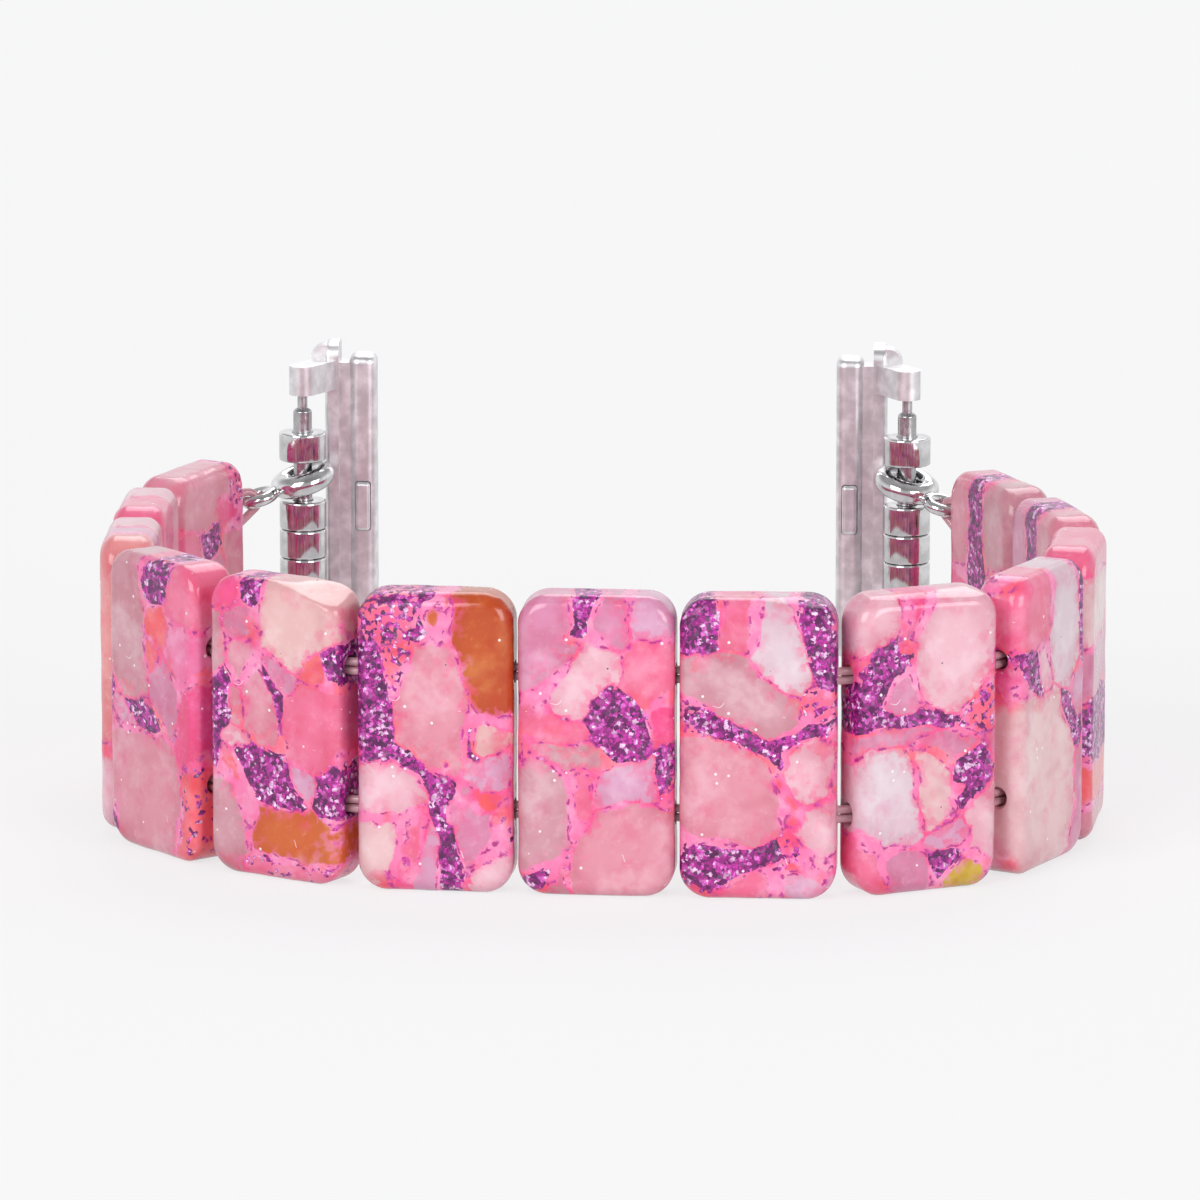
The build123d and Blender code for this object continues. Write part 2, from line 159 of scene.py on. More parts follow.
BEAD_CHIPS: dict[str, tuple[Chip, ...]] = {
    "bead_centre": (
        Chip(-3.8, 19.9, 2.5, 3.3, Tint.MAUVE),
        glitter(-1.7, 20.6, 0.65, 2.6, 28),
        Chip(-0.8, 16.6, 1.7, 3.6, Tint.PALE, 32),
        Chip(1.3, 21.0, 1.5, 2.0, Tint.MAUVE, -20),
        Chip(3.9, 21.3, 1.9, 1.5, Tint.LILAC),
        Chip(4.2, 17.4, 1.9, 2.6, Tint.ROSE),
        glitter(1.7, 13.0, 2.0, 2.9, -28),
        Chip(-2.6, 12.9, 2.0, 1.0, Tint.ROSE, 20),
        Chip(-1.9, 10.7, 2.6, 1.0, Tint.ASH),
        Chip(-3.9, 6.2, 2.3, 4.5, Tint.ASH),
        Chip(-0.9, 7.3, 0.9, 3.0, Tint.ROSE, -12),
        Chip(2.1, 8.8, 2.6, 1.6, Tint.LILAC, -30),
        glitter(4.9, 10.1, 0.6, 1.1, 20),
        Chip(2.0, 3.4, 4.0, 3.6, Tint.DUSTY),
        glitter(-3.6, 2.1, 0.35, 2.2, 48),
        Chip(4.8, 13.6, 1.0, 1.6, Tint.HOT),
    ),
    "bead_left_1": (
        Chip(-3.2, 21.0, 2.4, 1.6, Tint.ROSE, 0, 0.55),
        glitter(-1.1, 20.4, 0.5, 1.5, 10),
        Chip(3.5, 17.9, 1.9, 4.5, Tint.AMBER, -4),
        Chip(-0.3, 21.3, 0.9, 1.0, Tint.TOPAZ),
        Chip(0.1, 14.6, 2.8, 4.9, Tint.DUSTY, -6),
        Chip(-2.9, 16.9, 1.0, 2.4, Tint.CORAL, 30, 0.35),
        glitter(-4.6, 14.2, 1.35, 4.0, -6),
        glitter(2.4, 13.6, 0.35, 3.6, -17),
        Chip(3.8, 11.9, 1.1, 1.4, Tint.PEACH, -20),
        glitter(-1.2, 9.4, 0.4, 2.7, -50),
        Chip(-3.4, 7.6, 2.7, 2.3, Tint.PALE, -15),
        Chip(-4.2, 3.4, 2.0, 2.8, Tint.CREAM),
        Chip(-2.2, 3.8, 0.9, 2.8, Tint.ROSE, 24),
        glitter(1.1, 3.5, 0.75, 3.9, -8),
        Chip(-0.3, 2.7, 0.6, 2.4, Tint.LILAC),
        Chip(2.8, 4.8, 1.9, 2.8, Tint.MAUVE, -20),
        Chip(4.0, 4.3, 0.5, 2.8, Tint.CORAL, 24),
        Chip(4.5, 1.6, 1.6, 1.9, Tint.PALE),
        Chip(4.2, 9.4, 1.5, 1.2, Tint.LILAC, 10),
        Chip(3.6, 7.0, 1.9, 0.8, Tint.CORAL, -34),
    ),
    "bead_right_1": (
        glitter(-4.5, 20.3, 1.5, 1.9),
        Chip(-1.7, 20.6, 1.1, 1.3, Tint.ROSE),
        Chip(2.0, 18.7, 1.8, 2.8, Tint.MILK, -16),
        glitter(4.7, 19.6, 0.9, 2.6, -10),
        Chip(-0.9, 15.7, 1.9, 5.2, Tint.ASH, -60),
        glitter(-0.3, 11.6, 0.55, 3.2, -62),
        glitter(3.4, 12.6, 0.45, 1.7, 60),
        Chip(-2.1, 8.1, 3.4, 4.2, Tint.DUSTY, -12),
        Chip(3.5, 9.6, 1.7, 2.4, Tint.PALE),
        Chip(2.3, 8.0, 0.5, 2.2, Tint.CORAL, -30),
        Chip(4.5, 5.2, 1.3, 3.2, Tint.PALE),
        glitter(-2.8, 2.8, 2.5, 1.6, -14),
        glitter(0.9, 3.5, 2.3, 0.45, 6),
        Chip(2.5, 3.2, 1.5, 0.8, Tint.CORAL, 0, 0.3),
        Chip(-0.4, 1.3, 2.2, 0.9, Tint.ROSE),
        Chip(3.5, 1.4, 2.1, 1.1, Tint.LILAC),
        Chip(4.4, 14.6, 1.2, 1.3, Tint.ROSE, 0, 0.3),
    ),
    "bead_right_2": (
        Chip(2.2, 18.3, 2.9, 4.3, Tint.PALE, -6),
        Chip(-4.2, 20.9, 1.8, 1.8, Tint.PALE),
        Chip(-1.7, 20.4, 0.5, 2.6, Tint.HOT, 26),
        glitter(-3.9, 16.8, 1.0, 3.5, 24),
        Chip(-2.8, 15.1, 1.2, 1.5, Tint.MAUVE, -30),
        glitter(-2.6, 13.4, 3.2, 0.6, 8),
        Chip(4.4, 14.3, 1.1, 2.4, Tint.CORAL, 20, 0.4),
        Chip(-2.6, 12.2, 3.0, 0.7, Tint.MAUVE, -8),
        Chip(1.6, 11.3, 2.6, 0.9, Tint.MAUVE, 6),
        Chip(-3.2, 7.8, 2.6, 3.9, Tint.MILK, -6),
        Chip(-0.1, 8.2, 1.4, 3.4, Tint.CREAM, -22),
        glitter(3.5, 9.0, 1.0, 2.2, 10),
        Chip(3.0, 8.0, 0.6, 0.9, Tint.LILAC, 40),
        Chip(4.6, 5.3, 1.2, 2.7, Tint.PALE, -12),
        Chip(-1.8, 2.2, 2.0, 1.4, Tint.MAUVE, 20),
        Chip(-5.0, 2.2, 0.9, 1.5, Tint.ROSE),
        glitter(0.8, 2.6, 1.1, 0.8, -30),
        Chip(1.2, 4.2, 1.4, 0.8, Tint.LILAC, -30),
        Chip(3.4, 1.5, 1.4, 0.8, Tint.GOLD, -12),
    ),
    "bead_left_2": (
        Chip(1.8, 19.9, 3.4, 3.3, Tint.PEACH, -12),
        Chip(-4.2, 21.4, 1.8, 1.2, Tint.HOT),
        Chip(-3.0, 19.9, 1.3, 1.9, Tint.MAUVE),
        glitter(-2.0, 21.8, 0.9, 0.7),
        Chip(-1.2, 19.6, 0.6, 1.5, Tint.CORAL, -6),
        Chip(-3.0, 16.6, 1.2, 1.7, Tint.DUSTY),
        Chip(-3.0, 13.3, 0.8, 1.5, Tint.DUSTY, -16),
        glitter(-4.7, 12.5, 0.95, 3.0, 10),
        Chip(-5.1, 17.8, 0.9, 2.2, Tint.ASH, 6),
        Chip(0.4, 16.6, 0.9, 2.1, Tint.MAUVE, -36),
        glitter(0.3, 14.2, 0.45, 1.6, -24),
        Chip(3.9, 16.8, 1.2, 1.4, Tint.CORAL),
        glitter(5.2, 17.2, 0.6, 0.9),
        Chip(-1.1, 12.9, 1.5, 3.0, Tint.DUSTY, -8),
        Chip(3.5, 12.3, 2.3, 3.1, Tint.ROSE),
        Chip(2.8, 7.5, 1.2, 1.4, Tint.LILAC),
        glitter(0.3, 7.5, 1.35, 4.3, -46),
        glitter(4.9, 7.0, 1.0, 1.8),
        Chip(1.9, 3.7, 3.8, 2.3, Tint.TOPAZ),
        Chip(1.3, 1.0, 2.6, 0.8, Tint.ROSE, 0, 0.2),
        Chip(-4.1, 4.0, 1.9, 3.4, Tint.ASH, 4),
        Chip(-3.3, 7.2, 0.7, 2.6, Tint.CORAL, -18),
        Chip(-3.3, 10.7, 1.6, 0.8, Tint.PALE),
    ),
    "bead_left_3": (
        Chip(-3.4, 17.0, 2.5, 5.6, Tint.ASH, -3),
        glitter(0.9, 21.3, 1.5, 1.4, -24),
        Chip(0.9, 18.1, 1.3, 1.6, Tint.CORAL, -24),
        Chip(4.4, 20.3, 2.2, 2.2, Tint.ROSE),
        Chip(3.9, 16.4, 1.8, 2.6, Tint.VEIN, 8),
        Chip(2.2, 13.0, 1.5, 2.4, Tint.MAUVE, -20),
        Chip(0.4, 15.4, 0.8, 0.9, Tint.CORAL),
        glitter(-5.4, 12.4, 0.6, 1.0, -20),
        Chip(-3.6, 11.0, 2.0, 0.8, Tint.LILAC, 46),
        glitter(-1.6, 10.7, 2.3, 0.7, 30),
        Chip(-0.9, 4.7, 4.6, 4.9, Tint.DUSTY, 4),
        Chip(5.2, 10.8, 1.4, 2.6, Tint.HOT),
        Chip(5.4, 4.0, 1.2, 4.0, Tint.CORAL, 0, 0.12),
        glitter(-5.2, 1.6, 0.5, 1.4, 24),
    ),
    "bead_right_3": (
        Chip(-3.6, 20.1, 3.0, 2.8, Tint.ROSE),
        glitter(-4.6, 21.9, 0.9, 0.6),
        glitter(-3.6, 15.6, 0.7, 2.4, -30),
        Chip(1.8, 18.4, 2.7, 4.6, Tint.MILK, 6),
        Chip(-1.7, 15.6, 0.9, 2.0, Tint.PALE, -20),
        glitter(4.7, 18.8, 0.4, 3.9, -4),
        glitter(2.8, 11.2, 0.6, 1.8, -46),
        Chip(4.6, 12.9, 1.3, 1.8, Tint.LILAC),
        Chip(-1.4, 7.0, 4.4, 6.8, Tint.CREAM, -4),
        Chip(4.9, 5.0, 0.9, 4.2, Tint.MAUVE, 4),
    ),
    "bead_left_4": (
        Chip(4.6, 14.6, 2.2, 7.6, Tint.SALMON),
        Chip(4.8, 3.2, 2.2, 3.6, Tint.PALE),
        Chip(-2.6, 18.0, 3.4, 4.6, Tint.PALE),
        glitter(0.2, 12.4, 2.2, 0.8, -24),
        Chip(-3.0, 7.0, 2.8, 5.4, Tint.DUSTY),
        Chip(1.2, 5.6, 1.8, 4.8, Tint.ASH, 8),
        Chip(0.9, 17.0, 0.7, 4.4, Tint.LILAC, 4),
    ),
    "bead_right_4": (
        Chip(0.0, 21.9, 6.0, 1.0, Tint.ROSE, 4),
        Chip(-0.6, 18.2, 5.6, 2.5, Tint.CREAM),
        Chip(0.0, 13.3, 5.8, 1.7, Tint.MAUVE, -4),
        glitter(-0.6, 8.6, 5.4, 2.6, 6),
        Chip(0.4, 4.4, 5.8, 1.4, Tint.CORAL),
        Chip(0.0, 1.3, 6.0, 1.4, Tint.DUSTY),
    ),
    "bead_left_5": (
        Chip(-2.8, 18.8, 2.8, 4.0, Tint.PALE),
        Chip(2.8, 19.6, 2.7, 3.2, Tint.ROSE, -8),
        glitter(1.4, 14.8, 1.4, 2.0, 30),
        Chip(-3.4, 10.4, 2.4, 4.2, Tint.HOT, 8),
        Chip(2.6, 9.4, 2.9, 3.8, Tint.SALMON),
        Chip(-1.8, 3.4, 3.6, 3.0, Tint.DUSTY),
        Chip(4.0, 3.0, 1.8, 2.6, Tint.CORAL),
    ),
    "bead_right_5": (
        Chip(-3.6, 18.6, 2.2, 4.0, Tint.DUSTY),
        Chip(3.4, 19.4, 2.3, 3.3, Tint.MAUVE),
        glitter(-0.2, 17.6, 1.5, 5.4, 8),
        Chip(3.4, 11.8, 2.2, 3.6, Tint.ROSE),
        Chip(-3.6, 9.2, 2.2, 4.6, Tint.DUSTY),
        glitter(1.6, 7.0, 1.0, 2.4, -20),
        Chip(-1.6, 2.8, 3.6, 2.6, Tint.MAUVE),
        Chip(3.8, 4.0, 1.9, 3.2, Tint.PALE),
    ),
    "bead_left_6": (
        Chip(2.0, 21.0, 4.4, 2.5, Tint.DUSTY, 8),
        Chip(-2.4, 19.4, 0.8, 3.4, Tint.HOT, 62),
        Chip(-4.6, 21.2, 1.0, 1.4, Tint.HOT, 20, 0.2),
        glitter(0.8, 17.1, 1.3, 1.1, 14),
        Chip(-3.9, 15.2, 1.9, 3.0, Tint.DUSTY),
        Chip(3.8, 16.4, 2.0, 2.2, Tint.ROSE, 10),
        Chip(0.2, 13.4, 2.0, 2.4, Tint.MAUVE, -14),
        Chip(-0.6, 7.6, 4.2, 3.2, Tint.DUSTY),
        Chip(4.2, 9.6, 1.6, 3.4, Tint.CREAM),
        Chip(2.4, 2.6, 3.2, 2.0, Tint.ROSE),
        Chip(-3.6, 2.6, 2.2, 2.4, Tint.ASH),
    ),
    "bead_right_6": (
        Chip(-3.6, 19.4, 2.4, 3.4, Tint.ASH, -10),
        Chip(3.6, 19.0, 2.2, 3.6, Tint.DUSTY),
        glitter(0.2, 16.4, 1.4, 5.2, 4),
        Chip(-3.4, 12.8, 2.4, 3.0, Tint.MAUVE),
        Chip(3.6, 10.6, 2.2, 4.4, Tint.HOT),
        glitter(-0.8, 8.2, 2.0, 2.6, -20),
        Chip(-3.0, 4.6, 2.8, 3.6, Tint.DUSTY),
        Chip(3.2, 4.0, 2.6, 3.4, Tint.MAUVE),
    ),
}


class Graph:
    """Short ways to add shader nodes to one node tree and to link them."""

    def __init__(self, tree: bpy.types.NodeTree) -> None:
        """Takes the tree that the nodes go into."""
        self.tree = tree

    def node(self, kind: str, inputs: dict | None = None, **settings: object) -> bpy.types.Node:
        """Adds a node.

        Args:
            kind: The node's type, such as ShaderNodeMath.
            inputs: Values or sockets for its inputs, by name or number.
            **settings: The node's own properties.

        Returns:
            The new node.
        """
        made = self.tree.nodes.new(kind)
        for name, value in settings.items():
            setattr(made, name, value)
        for key, value in (inputs or {}).items():
            self.feed(made.inputs[key], value)
        return made

    def feed(self, socket: bpy.types.NodeSocket, value: object) -> None:
        """Links a socket to an input, or sets the input's own value.

        Args:
            socket: The input.
            value: What goes into it: another node's output, or a plain value.
        """
        if isinstance(value, bpy.types.NodeSocket):
            self.tree.links.new(value, socket)
        else:
            socket.default_value = value

    def math(
        self, operation: str, first: object, second: object = 0.0, clamp: bool = False
    ) -> bpy.types.NodeSocket:
        """Adds a Math node and returns its value."""
        made = self.node("ShaderNodeMath", {0: first, 1: second}, operation=operation, use_clamp=clamp)
        return made.outputs[0]

    def vector(self, operation: str, first: object, second: object = (0, 0, 0)) -> bpy.types.NodeSocket:
        """Adds a Vector Math node and returns its vector."""
        made = self.node("ShaderNodeVectorMath", {0: first, 1: second}, operation=operation)
        return made.outputs["Vector"]

    def length(self, vector: bpy.types.NodeSocket) -> bpy.types.NodeSocket:
        """Returns the length of a vector."""
        return self.node("ShaderNodeVectorMath", {0: vector}, operation="LENGTH").outputs["Value"]

    def scaled(self, vector: bpy.types.NodeSocket, share: object) -> bpy.types.NodeSocket:
        """Returns a vector times a number."""
        made = self.node("ShaderNodeVectorMath", {0: vector, "Scale": share}, operation="SCALE")
        return made.outputs["Vector"]

    def blend(self, share: object, first: object, second: object, mode: str = "MIX") -> bpy.types.NodeSocket:
        """Mixes two colours.

        Args:
            share: How much of the second colour, from 0 to 1.
            first: The first colour.
            second: The second colour.
            mode: The way they mix.

        Returns:
            The mixed colour.
        """
        made = self.node("ShaderNodeMix", data_type="RGBA", blend_type=mode)
        self.feed(made.inputs[0], share)
        self.feed(made.inputs[6], first)
        self.feed(made.inputs[7], second)
        return made.outputs[2]

    def wash(self, mask: object, strength: float, under: object, over: object,
             mode: str = "MIX") -> bpy.types.NodeSocket:
        """Lays a colour over another where a mask is light.

        Args:
            mask: Where it goes, from 0 to 1.
            strength: How much of it the mask's full value lets through.
            under: The colour below.
            over: The colour that is laid on.
            mode: The way they mix.

        Returns:
            The washed colour.
        """
        return self.blend(self.math("MULTIPLY", mask, strength), under, over, mode)

    def plus(self, base: object, value: object, share: object) -> bpy.types.NodeSocket:
        """Returns base and a share of a value."""
        return self.math("ADD", base, self.math("MULTIPLY", value, share))

    def flip(self, value: object) -> bpy.types.NodeSocket:
        """Returns what is left of 1."""
        return self.math("SUBTRACT", 1.0, value)

    def ease(self, value: object, low: object, high: object) -> bpy.types.NodeSocket:
        """Returns 0 below low, 1 above high, and a smooth step between."""
        made = self.node("ShaderNodeMapRange", {0: value, 1: low, 2: high}, interpolation_type="SMOOTHSTEP")
        return made.outputs[0]

    def noise(self, point: object, scale: float, detail: float = 2.0, rough: float = 0.5) -> bpy.types.Node:
        """Adds a 3-D noise over a point in millimetres; scale is in waves a millimetre."""
        inputs = {"Vector": point, "Scale": scale, "Detail": detail, "Roughness": rough}
        return self.node("ShaderNodeTexNoise", inputs)

    def patches(self, point: object, shift: tuple[float, float, float], grain: tuple[float, float, float],
                step: tuple[float, float]) -> bpy.types.NodeSocket:
        """Marks soft-edged patches of a noise.

        Args:
            point: The point, in millimetres.
            shift: How far the noise is moved, so that patches of two kinds don't coincide.
            grain: The noise's scale, detail and roughness.
            step: Where the patches start and where they are full, from 0 to 1.

        Returns:
            The mask.
        """
        return self.ease(self.noise(self.vector("ADD", point, shift), *grain).outputs[0], *step)

    def cells(self, point: object, scale: float) -> bpy.types.Node:
        """Adds a 3-D cell pattern over a point in millimetres."""
        return self.node("ShaderNodeTexVoronoi", {"Vector": point, "Scale": scale}, feature="F1")


class Effect:
    """A node group: an effect that several materials share."""

    def __init__(self, name: str, inputs: dict[str, tuple[str, object]], outputs: dict[str, str]) -> None:
        """Makes the group and its sockets.

        Args:
            name: The group's name.
            inputs: Each input's kind, Float, Color or Vector, and its usual value.
            outputs: Each output's kind.
        """
        self.tree = bpy.data.node_groups.new(name, "ShaderNodeTree")
        for socket, (kind, value) in inputs.items():
            made = self.tree.interface.new_socket(socket, in_out="INPUT", socket_type=f"NodeSocket{kind}")
            made.default_value = value
        for socket, kind in outputs.items():
            self.tree.interface.new_socket(socket, in_out="OUTPUT", socket_type=f"NodeSocket{kind}")
        self.graph = Graph(self.tree)
        self.given = self.tree.nodes.new("NodeGroupInput").outputs
        self.result = self.tree.nodes.new("NodeGroupOutput").inputs

    def put(self, graph: Graph, **inputs: object) -> bpy.types.NodeOutputs:
        """Places the effect in a material.

        Args:
            graph: The material's graph.
            **inputs: Values or sockets for the group's inputs.

        Returns:
            The group node's outputs.
        """
        made = graph.node("ShaderNodeGroup", node_tree=self.tree)
        for name, value in inputs.items():
            graph.feed(made.inputs[name], value)
        return made.outputs


def broken_ground() -> Effect:
    """Says how far each point is shifted, so that chip edges break as crushed stone does.

    Returns:
        The effect, which puts out the shift along the band and the shift upwards.
    """
    effect = Effect("broken_ground", {"Point": ("Vector", (0, 0, 0))}, {"Along": "Float", "Rise": "Float"})
    g, given = effect.graph, effect.given
    drift = g.noise(given["Point"], 0.3, 1.0).outputs["Color"]
    shards = g.cells(given["Point"], 0.5).outputs["Color"]
    ragged = g.noise(given["Point"], 2.6, 3.0, 0.6).outputs["Color"]
    total = (0, 0, 0)
    for swing, reach_mm in ((drift, 0.9), (shards, 0.36), (ragged, 0.2)):
        total = g.vector("ADD", total, g.scaled(g.vector("SUBTRACT", swing, MIDDLE), reach_mm))
    parts = g.node("ShaderNodeSeparateXYZ", {0: total}).outputs
    g.feed(effect.result["Along"], parts[0])
    g.feed(effect.result["Rise"], parts[2])
    return effect


def chip_effect() -> Effect:
    """Weighs one chip against the nearest so far and hands on the nearer one's colour.

    Returns:
        The effect, which puts out the two least distances, the colour and the glitter.
    """
    inputs = {
        "Point": ("Vector", (0, 0, 0)), "Centre": ("Vector", (0, 0, 0)), "Size": ("Vector", (1, 6, 1)),
        "Lean": ("Float", 0.0), "Reach": ("Float", 1.0), "Tint": ("Color", (1, 1, 1, 1)),
        "Sparkle": ("Float", 0.0), "Near": ("Float", 99.0), "Next": ("Float", 99.0),
        "Colour": ("Color", (1, 1, 1, 1)), "Glitter": ("Float", 0.0),
    }
    outputs = {"Near": "Float", "Next": "Float", "Colour": "Color", "Glitter": "Float"}
    effect = Effect("stone_chip", inputs, outputs)
    g, given = effect.graph, effect.given
    away = g.vector("SUBTRACT", given["Point"], given["Centre"])
    lean = {"Vector": away, "Angle": given["Lean"]}
    turned = g.node("ShaderNodeVectorRotate", lean, rotation_type="Y_AXIS", invert=True).outputs[0]
    shares = g.vector("ABSOLUTE", g.vector("DIVIDE", turned, given["Size"]))
    parts = g.node("ShaderNodeSeparateXYZ", {0: shares}).outputs
    flats = g.math("MAXIMUM", g.math("MAXIMUM", parts[0], parts[2]), parts[1])
    cut = g.math("MULTIPLY", g.math("ADD", parts[0], parts[2]), CHIP_CORNER_SHARE)
    distance = g.math("MULTIPLY", g.math("SUBTRACT", g.math("MAXIMUM", flats, cut), 1.0), given["Reach"])
    nearer = g.math("LESS_THAN", distance, given["Near"])
    g.feed(effect.result["Near"], g.math("MINIMUM", distance, given["Near"]))
    beaten = g.math("MAXIMUM", distance, given["Near"])
    g.feed(effect.result["Next"], g.math("MINIMUM", beaten, given["Next"]))
    g.feed(effect.result["Colour"], g.blend(nearer, given["Colour"], given["Tint"]))
    kept = g.math("MULTIPLY", given["Glitter"], g.flip(nearer))
    g.feed(effect.result["Glitter"], g.plus(kept, given["Sparkle"], nearer))
    return effect


def stone_clouds() -> Effect:
    """Gives a flat stone colour milky clouds, darker drifts, a pink blush and fine wisps.

    Returns:
        The effect, which puts out the mottled colour.
    """
    inputs = {"Point": ("Vector", (0, 0, 0)), "Colour": ("Color", (1, 1, 1, 1))}
    effect = Effect("stone_clouds", inputs, {"Colour": "Color"})
    g, given = effect.graph, effect.given
    clouds = g.patches(given["Point"], (0, 0, 0), (0.34, 4.0, 0.58), (0.46, 0.7))
    drifts = g.patches(given["Point"], (31, 17, 5), (0.26, 2.0, 0.5), (0.5, 0.75))
    wisps = g.patches(given["Point"], (7, 41, 23), (1.4, 4.0, 0.62), (0.54, 0.78))
    blush = g.patches(given["Point"], (53, 9, 31), (0.46, 4.0, 0.6), (0.5, 0.68))
    lighter = g.node("ShaderNodeGamma", {"Color": given["Colour"], "Gamma": 0.62}).outputs[0]
    milky = g.wash(clouds, 0.7, given["Colour"], lighter)
    deeper = g.wash(drifts, 0.7, milky, DRIFT_SHADE, "MULTIPLY")
    bled = g.wash(blush, 0.55, deeper, BLUSH_SHADE, "MULTIPLY")
    g.feed(effect.result["Colour"], g.wash(wisps, 0.5, bled, lighter))
    return effect


def glitter_flakes() -> Effect:
    """Packs small foil flakes: most dark purple, some magenta, and a few drawn near-white as painted glints.

    Returns:
        The effect, which puts out the flakes' colour, how far each flashes, and the tilted normal.
    """
    inputs = {"Point": ("Vector", (0, 0, 0)), "Flake": ("Float", 3.4), "Tilt": ("Float", 0.0),
              "Surface": ("Vector", (0, 0, 1))}
    effect = Effect("glitter_flakes", inputs, {"Colour": "Color", "Flash": "Float", "Normal": "Vector"})
    g, given = effect.graph, effect.given
    wobble = g.noise(given["Point"], 4.2, 2.0).outputs["Color"]
    point = g.vector("ADD", given["Point"], g.scaled(wobble, 0.5))
    flakes = g.cells(point, given["Flake"])
    chance = g.node("ShaderNodeSeparateColor", {0: flakes.outputs["Color"]}).outputs
    heaps = g.math("SUBTRACT", g.noise(given["Point"], 0.9, 2.0).outputs[0], 0.5)
    luck = g.math("ADD", chance[0], g.math("MULTIPLY", heaps, 1.1), clamp=True)
    # The ramp's near-white top stop paints glints onto flakes, whatever the light.
    bands = g.node("ShaderNodeValToRGB", {0: luck})
    ramp = bands.color_ramp
    ramp.interpolation = "CONSTANT"
    while len(ramp.elements) < len(FLAKE_TINTS_AND_GLINTS):
        ramp.elements.new(1.0)
    for element, (place, tint) in zip(ramp.elements, FLAKE_TINTS_AND_GLINTS):
        element.position = place
        element.color = linear(tint)
    rim = g.ease(flakes.outputs["Distance"], 0.28, 0.62)
    g.feed(effect.result["Colour"], g.wash(rim, 0.4, bands.outputs[0], linear(FLAKE_RIM)))
    g.feed(effect.result["Flash"], g.ease(luck, 0.5, 0.9))
    lean = g.scaled(g.vector("SUBTRACT", flakes.outputs["Color"], MIDDLE), given["Tilt"])
    g.feed(effect.result["Normal"], g.vector("NORMALIZE", g.vector("ADD", given["Surface"], lean)))
    return effect


def fine_specks() -> Effect:
    """Finds sparse dots for white and dark specks and short white scratches.

    Returns:
        The effect, which puts out a mask for each.
    """
    outputs = {"White": "Float", "Dark": "Float", "Scratch": "Float"}
    effect = Effect("fine_specks", {"Point": ("Vector", (0, 0, 0))}, outputs)
    g, given = effect.graph, effect.given
    for name, scale, offset, least, size in (
        ("White", 1.0, (3, 8, 1), 0.72, 0.06), ("Dark", 0.7, (19, 2, 7), 0.8, 0.05),
    ):
        spots = g.cells(g.vector("ADD", given["Point"], offset), scale)
        chance = g.node("ShaderNodeSeparateColor", {0: spots.outputs["Color"]}).outputs
        dot = g.math("LESS_THAN", spots.outputs["Distance"], g.math("MULTIPLY", chance[1], 2 * size * scale))
        g.feed(effect.result[name], g.math("MULTIPLY", dot, g.math("GREATER_THAN", chance[0], least)))
    bent = g.scaled(g.noise(given["Point"], 0.5, 1.0).outputs["Color"], 3.0)
    long = g.vector("MULTIPLY", g.vector("ADD", given["Point"], bent), (0.7, 1.0, 3.6))
    lines = g.cells(long, 0.42)
    chance = g.node("ShaderNodeSeparateColor", {0: lines.outputs["Color"]}).outputs
    mark = g.math("LESS_THAN", lines.outputs["Distance"], 0.06)
    g.feed(effect.result["Scratch"], g.math("MULTIPLY", mark, g.math("GREATER_THAN", chance[2], 0.72)))
    return effect


def metal_wear() -> Effect:
    """Gives steel its uneven polish and hairline rubs.

    Returns:
        The effect, which puts out the roughness, the rubs' height and a mask for the tint.
    """
    inputs = {"Point": ("Vector", (0, 0, 0)), "Polish": ("Float", 0.12), "Rub": ("Float", 1.0)}
    effect = Effect("metal_wear", inputs, {"Roughness": "Float", "Height": "Float", "Shade": "Float"})
    g, given = effect.graph, effect.given
    smear = g.noise(given["Point"], 0.9, 3.0).outputs[0]
    rubs = g.noise(g.vector("MULTIPLY", given["Point"], (14, 14, 1.1)), 1.0, 2.0).outputs[0]
    worn = g.math("MULTIPLY", g.ease(rubs, 0.5, 0.8), 0.1)
    uneven = g.plus(worn, g.ease(smear, 0.4, 0.75), 0.1)
    g.feed(effect.result["Roughness"], g.plus(given["Polish"], uneven, given["Rub"]))
    g.feed(effect.result["Height"], g.math("MULTIPLY", rubs, given["Rub"]))
    g.feed(effect.result["Shade"], g.ease(smear, 0.3, 0.8))
    return effect


class Effects:
    """Every shared shader effect, built once."""

    def __init__(self) -> None:
        """Builds the node groups."""
        self.ground = broken_ground()
        self.chip = chip_effect()
        self.clouds = stone_clouds()
        self.flakes = glitter_flakes()
        self.specks = fine_specks()
        self.wear = metal_wear()


def new_material(name: str) -> tuple[bpy.types.Material, Graph, bpy.types.Node]:
    """Starts a material.

    Args:
        name: The material's name.

    Returns:
        The material, its graph and its Principled shader.
    """
    material = bpy.data.materials.new(name)
    material.use_nodes = True
    shader = material.node_tree.nodes["Principled BSDF"]
    return material, Graph(material.node_tree), shader


def millimetres(graph: Graph) -> bpy.types.NodeSocket:
    """Returns the point on the piece, in millimetres of the piece's own axes."""
    place = graph.node("ShaderNodeTexCoord").outputs["Object"]
    return graph.scaled(place, 1 / MM)


